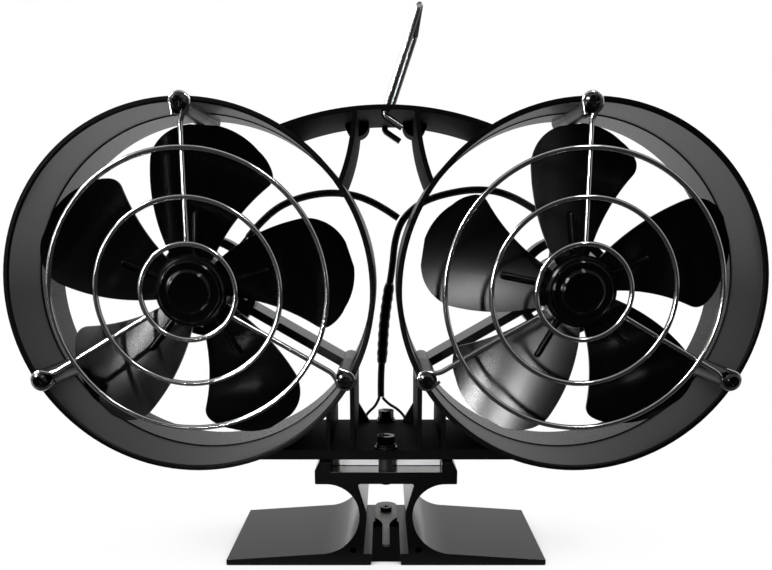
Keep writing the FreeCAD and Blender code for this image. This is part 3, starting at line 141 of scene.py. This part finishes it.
class Finish:
    """A material under construction, with a principled shader and a coordinate in metres."""

    def __init__(self, name):
        self.material = bpy.data.materials.new(name)
        self.material.use_nodes = True
        self.tree = self.material.node_tree
        self.shader = self.tree.nodes["Principled BSDF"]
        self.place = self.add("ShaderNodeTexCoord").outputs["Object"]

    def add(self, kind, **settings):
        node = self.tree.nodes.new(kind)
        for key, amount in settings.items():
            setattr(node, key, amount)
        return node

    def join(self, source, target):
        self.tree.links.new(source, target)

    def stretched(self, scale):
        node = self.add("ShaderNodeMapping")
        node.inputs["Scale"].default_value = scale
        self.join(self.place, node.inputs["Vector"])
        return node.outputs["Vector"]

    def part(self, axis):
        """One part of the coordinate."""
        node = self.add("ShaderNodeSeparateXYZ")
        self.join(self.place, node.inputs["Vector"])
        return node.outputs[axis]

    def maths(self, operation, first, second=0.0):
        node = self.add("ShaderNodeMath", operation=operation)
        for socket, source in zip(node.inputs, (first, second)):
            if isinstance(source, float):
                socket.default_value = source
            else:
                self.join(source, socket)
        return node.outputs["Value"]

    def blended(self, share, first, second):
        """A number that goes from the first source to the second with the share."""
        step = self.maths("MULTIPLY", self.maths("SUBTRACT", second, first), share)
        return self.maths("ADD", first, step)

    def noise(self, scale, detail=3.0, stretch=None):
        """Noise whose grains are about one over the scale in metres."""
        node = self.add("ShaderNodeTexNoise")
        node.inputs["Scale"].default_value = scale
        node.inputs["Detail"].default_value = detail
        source = self.place if stretch is None else self.stretched(stretch)
        self.join(source, node.inputs["Vector"])
        return node.outputs["Fac"]

    def spread(self, source, low, high, start=0.3, end=0.7):
        node = self.add("ShaderNodeMapRange")
        for key, amount in (("From Min", start), ("From Max", end), ("To Min", low), ("To Max", high)):
            node.inputs[key].default_value = amount
        self.join(source, node.inputs["Value"])
        return node.outputs["Result"]

    def colours(self, source, stops):
        node = self.add("ShaderNodeValToRGB")
        fill_ramp(node.color_ramp, stops)
        self.join(source, node.inputs["Fac"])
        self.join(node.outputs["Color"], self.shader.inputs["Base Color"])

    def roughness(self, source, low, high):
        self.join(self.spread(source, low, high), self.shader.inputs["Roughness"])

    def relief(self, source, depth, edge=0.0):
        """Bump of a depth in metres, over edges rounded by the given radius."""
        bump = self.add("ShaderNodeBump")
        bump.inputs["Strength"].default_value = 1.0
        bump.inputs["Distance"].default_value = depth
        self.join(source, bump.inputs["Height"])
        if edge > 0:
            bevel = self.add("ShaderNodeBevel", samples=BEVEL_SAMPLES)
            bevel.inputs["Radius"].default_value = edge
            self.join(bevel.outputs["Normal"], bump.inputs["Normal"])
        self.join(bump.outputs["Normal"], self.shader.inputs["Normal"])

    def set(self, **sockets):
        for key, amount in sockets.items():
            self.shader.inputs[key.replace("_", " ")].default_value = amount
        return self.material


def grey(amount, warmth=0.0):
    return (amount * (1 + warmth), amount, amount * (1 - warmth))


def painted_sheen_band(finish):
    """The wall inside a ring, behind its ledge, where a lighter grey is painted on as sheen."""
    across = finish.maths("SUBTRACT", finish.maths("ABSOLUTE", finish.part("X")), RING_X * MM)
    height = finish.maths("SUBTRACT", finish.part("Z"), AXIS_Z * MM)
    squares = [finish.maths("MULTIPLY", side, side) for side in (across, height)]
    radius = finish.maths("SQRT", finish.maths("ADD", *squares))
    inside = finish.maths("LESS_THAN", radius, RING_BORE * MM)
    behind = finish.maths("GREATER_THAN", finish.part("Y"), RING_LEDGE_Y * MM)
    return finish.maths("MULTIPLY", inside, behind)


def ring_coat_painted_sheen(name):
    """The frame's coating, painted a lighter grey as sheen on the band behind the ledge of a ring, where
    it is also less rough.
    """
    finish = Finish(name)
    cloud = finish.noise(CLOUDS, detail=4.0)
    speck = finish.noise(COAT_SPECKS, detail=2.0)
    band = painted_sheen_band(finish)
    clouded = finish.spread(cloud, 0.0, RING_CLOUD_SHARE)
    # The band lifts the colour towards light grey: painted sheen, standing in for the brighter
    # reflection of the ring's rear wall.
    shade = finish.maths("ADD", clouded, finish.maths("MULTIPLY", band, RING_PAINTED_SHEEN_SHARE))
    finish.colours(shade, [(0.0, grey(0.0016)), (0.2, grey(0.0034)), (1.0, grey(0.05))])
    rough = finish.blended(band, finish.spread(speck, 0.30, 0.38), finish.spread(speck, 0.24, 0.30))
    finish.join(rough, finish.shader.inputs["Roughness"])
    finish.relief(speck, COAT_RELIEF, COAT_EDGE)
    return finish.set(Specular_IOR_Level=RING_LEVEL)


def coated(name, dark, light, rough, grain, depth, edge, level):
    """A dark coating with fine grains on a cast, pressed or moulded piece."""
    finish = Finish(name)
    cloud = finish.noise(CLOUDS, detail=4.0)
    speck = finish.noise(grain, detail=2.0)
    finish.colours(cloud, [(0.35, grey(dark)), (0.7, grey(light))])
    finish.roughness(speck, *rough)
    finish.relief(speck, depth, edge)
    return finish.set(Specular_IOR_Level=level)


def extruded(name, dark, light, rough, level):
    """Anodised aluminium with the die's lines along Y."""
    finish = Finish(name)
    lines = finish.noise(1.0, detail=4.0, stretch=DIE_LINES)
    cloud = finish.noise(DIE_CLOUDS)
    finish.colours(cloud, [(0.3, grey(dark)), (0.72, grey(light))])
    finish.roughness(lines, *rough)
    finish.relief(lines, DIE_RELIEF, COAT_EDGE)
    bare_seat(finish)
    return finish.set(Specular_IOR_Level=level)


def bare_seat(finish):
    """The floor of the module's tray, milled bare through the black."""
    above = finish.maths("ABSOLUTE", finish.maths("SUBTRACT", finish.part("Z"), TRAY_FLOOR * MM))
    level = finish.maths("LESS_THAN", above, SEAT_DEPTH)
    within = finish.maths("LESS_THAN", finish.maths("ABSOLUTE", finish.part("X")), TRAY_HALF * MM)
    seat = finish.maths("MULTIPLY", level, within)
    mix = finish.add("ShaderNodeMix", data_type="RGBA")
    black = finish.shader.inputs["Base Color"].links[0].from_socket
    finish.join(seat, mix.inputs["Factor"])
    finish.join(black, mix.inputs["A"])
    mix.inputs["B"].default_value = BARE_METAL
    finish.join(mix.outputs["Result"], finish.shader.inputs["Base Color"])
    finish.join(seat, finish.shader.inputs["Metallic"])


def metal(name, dark, light, rough, grain, depth, edge=0.0, stretch=None, warmth=0.0, rim=1.0):
    """Bare metal; a rim below one darkens its reflection where it is seen edge on, which paints dark
    shade along the edges.
    """
    finish = Finish(name)
    grains = finish.noise(grain, stretch=stretch)
    finish.colours(grains, [(0.3, grey(dark, warmth)), (0.7, grey(light, warmth))])
    finish.roughness(finish.noise(METAL_SMEARS), *rough)
    finish.relief(grains, depth, edge)
    return finish.set(Metallic=1.0, Specular_Tint=(rim, rim, rim, 1.0))


def knurled(name):
    """Black steel with knurling round the heads of the clamp screws."""
    finish = Finish(name)
    grains = finish.noise(KNURL_GRAIN)
    across = finish.part("X")
    along = finish.maths("SUBTRACT", finish.maths("ABSOLUTE", finish.part("Y")), CLAMP_Y * MM)
    squares = [finish.maths("MULTIPLY", side, side) for side in (across, along)]
    rim = finish.maths("GREATER_THAN", finish.maths("ADD", *squares), (KNURL_RIM * MM) ** 2)
    angle = finish.maths("ARCTAN2", along, across)
    teeth = finish.maths("SINE", finish.maths("MULTIPLY", angle, KNURL_TEETH))
    finish.colours(grains, [(0.3, grey(0.015)), (0.7, grey(0.04))])
    finish.roughness(grains, 0.07, 0.13)
    finish.relief(finish.maths("MULTIPLY", teeth, rim), KNURL_DEPTH, KNURL_DEPTH)
    return finish.set(Metallic=1.0)


def matt(name, dark, light, rough, grain, depth, tint=(1.0, 1.0, 1.0)):
    """Ceramic, rubber or plastic without a coating."""
    finish = Finish(name)
    grains = finish.noise(grain, detail=4.0)
    shades = [tuple(amount * part for part in tint) for amount in (dark, light)]
    finish.colours(grains, [(0.3, shades[0]), (0.72, shades[1])])
    finish.roughness(grains, *rough)
    finish.relief(grains, depth)
    return finish.set(Specular_IOR_Level=MATT_LEVEL)


def woven(name):
    """A braided black sleeve: two crossing sets of strands."""
    finish = Finish(name)
    heights = []
    for direction in ((1.0, 1.0, 1.0), (-1.0, 1.0, 1.0)):
        wave = finish.add("ShaderNodeTexWave", wave_type="BANDS", bands_direction="DIAGONAL")
        wave.inputs["Scale"].default_value = BRAID_SCALE
        finish.join(finish.stretched(direction), wave.inputs["Vector"])
        heights.append(wave.outputs["Fac"])
    weave = finish.maths("MULTIPLY", *heights)
    finish.colours(weave, [(0.0, grey(0.003)), (1.0, grey(0.012))])
    finish.roughness(finish.noise(BRAID_GRAIN), 0.5, 0.7)
    finish.relief(weave, BRAID_RELIEF)
    return finish.set(Specular_IOR_Level=MATT_LEVEL)


# Values of a finish: darkest and lightest grey and range of roughness, then, where it has them, grains
# per metre, their relief and the radius of the edges in metres; a coating's specular level comes last
SLOT_FINISHES = {
    "anodised_base": extruded("anodised_base", 0.0012, 0.0026, (0.17, 0.22), 0.5),
    "cast_frame": coated("cast_frame", 0.001, 0.002, (0.6, 0.7), 900.0, 0.00004, 0.00025, 0.06),
    "blade_metal": coated("blade_metal", 0.001, 0.002, (0.18, 0.23), 3000.0, 0.000004, 0.00015, 0.3),
    "hub_plastic": coated("hub_plastic", 0.0006, 0.0012, (0.05, 0.075), 1400.0, 0.0000015, 0.0011, 0.9),
    # Its rim of 0.05 paints the wires' edges dark, as painted shade standing in for the dark
    # surroundings they reflect.
    "chrome_wire": metal("chrome_wire", 0.78, 0.88, (0.12, 0.17), 700.0, 0.000004, rim=0.05),
    "black_screw": metal("black_screw", 0.04, 0.09, (0.13, 0.2), 1500.0, 0.000012, 0.0002),
    "bright_steel": metal("bright_steel", 0.48, 0.6, (0.22, 0.34), 900.0, 0.000006, 0.0001),
    "bimetal": metal("bimetal", 0.17, 0.23, (0.3, 0.42), 1.0, 0.000008, 0.0, SHEET_LINES, 0.02),
    "graphite": matt("graphite", 0.03, 0.06, (0.5, 0.65), 1500.0, 0.00001),
    "white_ceramic": matt("white_ceramic", 0.92, 0.96, (0.5, 0.65), 900.0, 0.00001),
    "module_core": matt("module_core", 0.2, 0.3, (0.5, 0.7), 700.0, 0.00002, (1.0, 0.95, 0.85)),
    "white_seal": matt("white_seal", 0.9, 0.95, (0.45, 0.6), 500.0, 0.00004),
    "black_insulator": matt("black_insulator", 0.002, 0.005, (0.5, 0.65), 1200.0, 0.00001),
    "motor_steel": metal("motor_steel", 0.36, 0.46, (0.28, 0.4), 800.0, 0.000008, 0.0003),
    "motor_plastic": matt("motor_plastic", 0.01, 0.018, (0.45, 0.6), 1300.0, 0.00001),
    "magnet": matt("magnet", 0.03, 0.05, (0.5, 0.65), 1400.0, 0.00001),
    "armature": metal("armature", 0.2, 0.32, (0.3, 0.45), 1.0, 0.00004, 0.0, WINDING_LINES, 0.25),
    "brass_fitting": metal("brass_fitting", 0.42, 0.52, (0.24, 0.36), 900.0, 0.000008, 0.0, None, 0.32),
    "cable_sleeve": woven("cable_sleeve"),
    "shrink_tube": matt("shrink_tube", 0.004, 0.008, (0.32, 0.45), 600.0, 0.00002),
    "wire_cover": matt("wire_cover", 0.006, 0.011, (0.4, 0.55), 1500.0, 0.00001),
}


def paint(piece, finish):
    piece.data.materials.clear()
    piece.data.materials.append(finish)


for part in frame["record"]["subparts"]:
    paint(NODES[part["node"]], SLOT_FINISHES[part["material_slot"]])

# Nodes whose finish is a variant of their slot's
ring_finish = ring_coat_painted_sheen("ring_coat_painted_sheen")
spider_finish = coated("spider_coat", 0.0014, 0.003, (0.26, 0.34),
                       COAT_SPECKS, COAT_RELIEF, COAT_EDGE, 0.5)
for side, _ in SIDES:
    # The rings' coat carries the painted sheen on its rear band.
    paint(NODES["ring_" + side], ring_finish)
    paint(NODES["motor_spider_" + side], spider_finish)
paint(NODES["clamp_screws"], knurled("knurled_screw"))
# The handle's metal is a darker copy of the guard's chrome, and its rim of 0.02 paints its edges dark:
# both painted shade.
paint(NODES["carry_handle"], metal("bail_wire", 0.36, 0.44, (0.2, 0.26), 700.0, 0.000004, rim=0.02))
paint(NODES["bimetal_screw"], SLOT_FINISHES["bimetal"])


def finished(piece, slot, body="body"):
    """Gives a new piece its finish and the body it rides on."""
    paint(piece, SLOT_FINISHES[slot])
    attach(piece, body)


# Leads behind the frame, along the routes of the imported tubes

LEAD_LEFT = ((-60.47, 28.9, 128.5), (-51.5, 28.9, 139.0), (-38.01, 28.9, 145.6), (-22.01, 28.9, 148.0),
             (-6.0, 28.9, 144.6), (5.34, 28.9, 136.7))
LEAD_RIGHT = ((65.5, 28.9, 139.8), (54.98, 28.9, 146.6), (40.01, 28.9, 149.3), (24.53, 28.9, 146.8),
              (14.52, 28.9, 143.0), (6.89, 28.9, 136.2), (3.78, 28.9, 127.0), (2.89, 28.4, 116.0),
              (0.89, 28.4, 104.0), (-0.89, 28.4, 91.0), (-1.63, 28.4, 77.0), (-2.4, 28.4, 66.0),
              (-2.3, 28.4, 57.5))
TAIL_LEFT = ((-3.05, 28.4, 57.1), (-4.4, 28.6, 53.2), (-8.4, 29.0, 49.8), (-10.3, 29.3, 46.0),
             (-10.1, 26.7, 40.3), (-10.0, 20.8, 40.9))
TAIL_RIGHT = ((-1.55, 28.4, 57.0), (0.6, 28.6, 54.2), (5.6, 29.0, 51.4), (9.6, 29.3, 46.4),
              (10.0, 26.7, 40.3), (9.9, 20.8, 40.9))
WIRES_LEFT = (
    ((-80.1, 23.25, 108.8), (-79.4, 27.3, 110.6), (-73.58, 28.9, 116.2), (-66.32, 28.9, 122.7),
     (-61.04, 28.9, 128.83)),
    ((-68.1, 23.25, 108.8), (-68.4, 27.3, 110.5), (-68.02, 28.9, 116.8), (-64.02, 28.9, 123.45),
     (-60.1, 28.9, 128.02)),
)
WIRES_RIGHT = (
    ((68.1, 23.25, 108.8), (68.6, 27.3, 110.4), (71.88, 28.9, 117.0), (72.99, 28.9, 127.0),
     (70.28, 28.9, 135.97), (65.25, 28.9, 139.23)),
    ((80.1, 23.25, 108.8), (79.9, 27.3, 110.6), (80.47, 28.9, 118.5), (77.29, 28.9, 128.5),
     (70.95, 28.9, 137.0), (65.92, 28.9, 140.27)),
)
LEAD_WIDTH = 3.1
TAIL_WIDTH = 1.3
MOTOR_WIRE_WIDTH = 1.1


def route_curve(name, route, diameter):
    """A smooth round wire with the route's points as its control points."""
    data = bpy.data.curves.new(name, "CURVE")
    data.dimensions = "3D"
    data.resolution_u = 10
    data.bevel_depth = diameter / 2 * MM
    data.bevel_resolution = 5
    data.use_fill_caps = True
    spline = data.splines.new("NURBS")
    spline.points.add(len(route) - 1)
    for target, place in zip(spline.points, route):
        target.co = (*point(*place), 1.0)
    spline.order_u = 3
    spline.use_endpoint_u = True
    return link(name, data)


def centre_line(curve):
    """Points along a wire's own smooth line."""
    depth = curve.data.bevel_depth
    curve.data.bevel_depth = 0.0
    curve.data.use_fill_caps = False
    mesh = bpy.data.meshes.new_from_object(curve)
    curve.data.bevel_depth = depth
    curve.data.use_fill_caps = True
    line = [vertex.co.copy() for vertex in mesh.vertices]
    bpy.data.meshes.remove(mesh)
    return line


def skin(mesh, rings):
    """Faces between each ring of points and the next, and over both ends."""
    count = len(rings[0])
    for first, second in zip(rings, rings[1:]):
        for step in range(count):
            after = (step + 1) % count
            mesh.faces.new((first[step], first[after], second[after], second[step]))
    mesh.faces.new(rings[0][::-1])
    mesh.faces.new(rings[-1])


def tube_mesh(name, line, radii, count):
    """A closed tube with a radius at each point of its line."""
    mesh = bmesh.new()
    rings = []
    side = Vector((0.0, 1.0, 0.0))
    turns = [2 * math.pi * step / count for step in range(count)]
    for index, place in enumerate(line):
        ahead = line[min(index + 1, len(line) - 1)] - line[max(index - 1, 0)]
        across = ahead.cross(side).normalized()
        up = across.cross(ahead).normalized()
        spokes = [across * math.cos(turn) + up * math.sin(turn) for turn in turns]
        rings.append([mesh.verts.new(place + spoke * radii[index]) for spoke in spokes])
    skin(mesh, rings)
    return mesh_piece(name, mesh)


def mesh_piece(name, mesh, smooth=True):
    bmesh.ops.recalc_face_normals(mesh, faces=mesh.faces)
    data = bpy.data.meshes.new(name)
    mesh.to_mesh(data)
    mesh.free()
    for face in data.polygons:
        face.use_smooth = smooth
    return link(name, data)


SLEEVE_TOP = 109.0
SLEEVE_BOTTOM = 72.0
SLEEVE_RADIUS = 2.45
SLEEVE_LIP = 1.75
SLEEVE_DENT = 0.14
SLEEVE_WAVE = 1.9
SLEEVE_TAPER = 9.0
SLEEVE_SIDES = 20


def add_sleeve(name, curve):
    """Shrink tube over the trunk's joint, drawn in at both ends and a little uneven."""
    line = [place for place in centre_line(curve) if SLEEVE_BOTTOM * MM <= place.z <= SLEEVE_TOP * MM]
    last = len(line) - 1
    radii = []
    for index in range(len(line)):
        inward = min(1.0, min(index, last - index) / last * SLEEVE_TAPER)
        full = SLEEVE_LIP + (SLEEVE_RADIUS - SLEEVE_LIP) * inward ** 0.5
        dent = SLEEVE_DENT * (1 + math.sin(index * SLEEVE_WAVE)) * inward
        radii.append((full - dent) * MM)
    sleeve = tube_mesh(name, line, radii, SLEEVE_SIDES)
    finished(sleeve, "shrink_tube")
    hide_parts("lead_sleeve")
    return sleeve


def add_wire(name, node, route, diameter, slot):
    add_cord(route_curve(name, route, diameter), node, slot)


def add_cord(wire, node, slot):
    line = centre_line(wire)
    finished(wire, slot)
    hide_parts(node)


add_wire("left_lead", "lead_left", LEAD_LEFT, LEAD_WIDTH, "cable_sleeve")
right_lead = route_curve("right_lead", LEAD_RIGHT, LEAD_WIDTH)
lead_sleeve = add_sleeve("trunk_sleeve", right_lead)
add_cord(right_lead, "lead_right", "cable_sleeve")
add_wire("left_tail", "lead_tail_left", TAIL_LEFT, TAIL_WIDTH, "wire_cover")
add_wire("right_tail", "lead_tail_right", TAIL_RIGHT, TAIL_WIDTH, "wire_cover")
for side, routes in (("left", WIRES_LEFT), ("right", WIRES_RIGHT)):
    for number, route in enumerate(routes, start=1):
        name = "motor_wire_%s_%d" % (side, number)
        add_wire(name, "motor_wires_" + side, route, MOTOR_WIRE_WIDTH, "wire_cover")


# Bimetal strip: one sheet from its fixed head to the tongue's end

STRIP_BOTTOM = 5.6
STRIP_TOP = 6.6
STRIP_EDGE = 0.15
HEAD_Y = 25.0
HEAD_HALF = 5.0
NECK_Y = 8.0
STEM_Y = -1.3
STEM_HALF = 1.6
STEM_END = -24.3
STRIP_TIP = 0.04
STRIP_STEPS = 160
WAIST_POWER = 1.8
END_NARROWING = 0.5
END_LENGTH = 0.6
NARROWEST_SQUARE = 0.2


def strip_half(y):
    """Half width of the strip: round head, straight sides, waisted neck, stem with a soft end."""
    if y > HEAD_Y:
        return math.sqrt(max(HEAD_HALF ** 2 - (y - HEAD_Y) ** 2, NARROWEST_SQUARE))
    if y > NECK_Y:
        return HEAD_HALF
    if y > STEM_Y:
        share = (y - STEM_Y) / (NECK_Y - STEM_Y)
        return STEM_HALF + (HEAD_HALF - STEM_HALF) * share ** WAIST_POWER
    return STEM_HALF - END_NARROWING * max(0.0, 1 - (y - STEM_END) / END_LENGTH) ** 2


def strip_section(half):
    edge = STRIP_EDGE
    low, high = STRIP_BOTTOM, STRIP_TOP
    right = [(half - edge, low), (half, low + edge), (half, high - edge), (half - edge, high)]
    return right + [(-x, z) for x, z in right[::-1]]


def add_strip():
    length = HEAD_Y + HEAD_HALF - STRIP_TIP - STEM_END
    mesh = bmesh.new()
    rows = []
    for step in range(STRIP_STEPS + 1):
        y = STEM_END + length * step / STRIP_STEPS
        rows.append([mesh.verts.new(point(x, y, z)) for x, z in strip_section(strip_half(y))])
    skin(mesh, rows)
    strip = mesh_piece("bimetal_strip", mesh, smooth=False)
    paint(strip, SLOT_FINISHES["bimetal"])
    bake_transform(strip)
    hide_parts("bimetal_root", "bimetal_tongue")


add_strip()


# Welds of the guards and solder on the motor terminals

LUMP_UNEVEN = 0.16
WELD_STEP = 0.95
WELD_REACH = (0.62, 0.6, 1.05)
SOLDER_REACH = (0.85, 1.25, 1.0)
SOLDER_INSET = 0.5


def lump(mesh, place, reach, seed):
    """An uneven bead with three half lengths along X, Y and Z."""
    made = bmesh.ops.create_icosphere(mesh, subdivisions=3, radius=1.0)["verts"]
    for vertex in made:
        way = vertex.co.normalized()
        wave = math.sin(5 * way.x + seed) * math.sin(4 * way.z + 2 * seed) * math.sin(3 * way.y - seed)
        swell = 1 + LUMP_UNEVEN * wave
        vertex.co = place + Vector((way.x * reach[0], way.y * reach[1], way.z * reach[2])) * swell * MM
    return made


def add_welds(side, sign):
    """Two beads where each guard ring crosses each spoke."""
    mesh = bmesh.new()
    number = 0
    for angle in GUARD_ANGLES:
        for ring in GUARD_RINGS:
            for step in (-1, 1):
                number += 1
                turn = math.radians(angle) + step * WELD_STEP / ring
                place = point(sign * RING_X + ring * math.cos(turn), (GUARD_Y + GUARD_RING_Y) / 2,
                              AXIS_Z + ring * math.sin(turn))
                made = lump(mesh, Vector((0.0, 0.0, 0.0)), WELD_REACH, number)
                bmesh.ops.rotate(mesh, verts=made, matrix=Matrix.Rotation(-turn, 3, "Y"))
                bmesh.ops.translate(mesh, verts=made, vec=place)
    finished(mesh_piece("guard_welds_" + side, mesh), "chrome_wire")


def add_solder(side, wires):
    mesh = bmesh.new()
    for number, route in enumerate(wires, start=1):
        x, y, z = route[0]
        lump(mesh, point(x, y - SOLDER_INSET, z), SOLDER_REACH, 3 * number)
    finished(mesh_piece("solder_" + side, mesh), "bright_steel")


for side, sign in SIDES:
    add_welds(side, sign)
add_solder("left", WIRES_LEFT)
add_solder("right", WIRES_RIGHT)


# Stage: a pale floor, a white surround behind the fan, and the lamps

FLOOR_SIZE = 8.0
FLOOR_PLACE = (0.0, 0.0, -0.0003)
FLOOR_DARK, FLOOR_PALE = 0.02, 0.7
FLOOR_FRONT, FLOOR_REAR = -0.05, 0.03
BASE_HALF = 0.056
BASE_FRONT, BASE_REAR = -0.0257, 0.028
# Reach, samples and stops of the painted shade that ambient occlusion puts on the floor.
PAINTED_SHADE_REACH = 0.08
PAINTED_SHADE_SAMPLES = 12
PAINTED_SHADE_STOPS = ((0.12, grey(0.004)), (0.4, grey(0.88)), (0.62, grey(1.0)))


def painted_shadow_under_base(finish):
    """One for the part of the floor under the base, which is painted dark as the base's shadow."""
    across = finish.maths("LESS_THAN", finish.maths("ABSOLUTE", finish.part("X")), BASE_HALF)
    front = finish.maths("GREATER_THAN", finish.part("Y"), BASE_FRONT)
    rear = finish.maths("LESS_THAN", finish.part("Y"), BASE_REAR)
    return finish.maths("MULTIPLY", across, finish.maths("MULTIPLY", front, rear))


def add_floor():
    """White to the camera but for painted shadow under the base and near the fan; paler behind the fan
    than in front of it.
    """
    bpy.ops.mesh.primitive_plane_add(size=FLOOR_SIZE, location=FLOOR_PLACE)
    floor = bpy.context.object
    floor.name = "floor"
    finish = Finish("pale_floor")
    tree = finish.tree
    tree.nodes.remove(finish.shader)
    reach = finish.spread(finish.part("Y"), FLOOR_DARK, FLOOR_PALE, FLOOR_FRONT, FLOOR_REAR)
    matt_floor = finish.add("ShaderNodeBsdfDiffuse")
    finish.join(reach, matt_floor.inputs["Color"])
    # Ambient occlusion darkens the floor's white near the fan: painted contact shadow.
    occlusion_shade = finish.add("ShaderNodeAmbientOcclusion", samples=PAINTED_SHADE_SAMPLES)
    occlusion_shade.inputs["Distance"].default_value = PAINTED_SHADE_REACH
    shade = finish.add("ShaderNodeValToRGB")
    fill_ramp(shade.color_ramp, PAINTED_SHADE_STOPS)
    # The floor under the base is painted dark as its shadow.
    painted_shade_level = finish.maths("SUBTRACT", occlusion_shade.outputs["AO"], painted_shadow_under_base(finish))
    finish.join(painted_shade_level, shade.inputs["Fac"])
    glow = finish.add("ShaderNodeEmission")
    finish.join(shade.outputs["Color"], glow.inputs["Color"])
    path = finish.add("ShaderNodeLightPath")
    mix = finish.add("ShaderNodeMixShader")
    finish.join(path.outputs["Is Camera Ray"], mix.inputs["Fac"])
    finish.join(matt_floor.outputs["BSDF"], mix.inputs[1])
    finish.join(glow.outputs["Emission"], mix.inputs[2])
    finish.join(mix.outputs["Shader"], tree.nodes["Material Output"].inputs["Surface"])
    floor.data.materials.append(finish.material)


# Brightness of the surround by the Y of its direction: dark in front, pale at the sides, dim at the rear
# corners and pale again straight behind; the camera alone sees it all white
SURROUND = ((-0.6, 0.03), (-0.35, 0.5), (0.2, 0.5), (0.5, 0.1), (0.8, 0.4), (0.95, 0.65))


def add_surround():
    world = bpy.data.worlds.new("surround")
    bpy.context.scene.world = world
    world.use_nodes = True
    tree = world.node_tree
    shade = tree.nodes["Background"]
    place = tree.nodes.new("ShaderNodeTexCoord")
    parts = tree.nodes.new("ShaderNodeSeparateXYZ")
    share = tree.nodes.new("ShaderNodeMapRange")
    share.inputs["From Min"].default_value = -1.0
    level = tree.nodes.new("ShaderNodeValToRGB")
    fill_ramp(level.color_ramp, [((heading + 1) / 2, grey(amount)) for heading, amount in SURROUND])
    path = tree.nodes.new("ShaderNodeLightPath")
    white = tree.nodes.new("ShaderNodeMath")
    white.operation = "MAXIMUM"
    tree.links.new(place.outputs["Generated"], parts.inputs["Vector"])
    tree.links.new(parts.outputs["Y"], share.inputs["Value"])
    tree.links.new(share.outputs["Result"], level.inputs["Fac"])
    tree.links.new(level.outputs["Color"], white.inputs[0])
    tree.links.new(path.outputs["Is Camera Ray"], white.inputs[1])
    tree.links.new(white.outputs["Value"], shade.inputs["Strength"])
    shade.inputs["Color"].default_value = (1.0, 1.0, 1.0, 1.0)


def add_softbox(name, place, target, width, height, watts, spread=180.0):
    """A soft lamp turned to its target; a small spread in degrees keeps its light there."""
    data = bpy.data.lights.new(name, "AREA")
    data.spread = math.radians(spread)
    data.shape = "RECTANGLE"
    data.size = width
    data.size_y = height
    data.energy = watts
    lamp = link(name, data)
    lamp.location = place
    heading = Vector(target) - Vector(place)
    lamp.rotation_euler = heading.to_track_quat("-Z", "Y").to_euler()


# What the lamps are turned to, and each lamp's place, target, width, height, watts and spread
FAN_MIDDLE = (0.0, 0.0, 0.11)
LEFT_BLADE = (-0.09, -0.015, 0.097)
RIGHT_FAN = (0.074, 0.0, 0.109)
MODULE = (0.0, -0.02, 0.041)
BAIL = (0.012, 0.0, 0.19)
LAMPS = (
    ("left_key", (-0.805, -0.655, 0.317), LEFT_BLADE, 0.06, 0.06, 0.0014, 3.5),
    ("right_key", (-0.464, -0.828, 0.2), RIGHT_FAN, 0.24, 0.14, 0.046, 12.0),
    ("top_softbox", (0.24, -0.55, 0.8), FAN_MIDDLE, 0.06, 0.2, 1.1),
    ("side_softbox", (-0.75, -0.15, 0.75), FAN_MIDDLE, 0.3, 0.3, 10.0),
    ("low_fill", (-0.3, -0.87, 0.09), MODULE, 0.1, 0.05, 0.0125, 8.0),
    ("bail_light", (-0.33, -0.88, 0.445), BAIL, 0.04, 0.04, 0.0012, 3.0),
    ("rear_softbox_left", (-0.75, 0.7, 0.85), FAN_MIDDLE, 0.5, 0.5, 5.5),
    ("rear_softbox_right", (0.75, 0.7, 0.85), FAN_MIDDLE, 0.5, 0.5, 5.5),
)
add_floor()
add_surround()
for lamp in LAMPS:
    add_softbox(*lamp)
bpy.context.scene.view_settings.view_transform = "Standard"
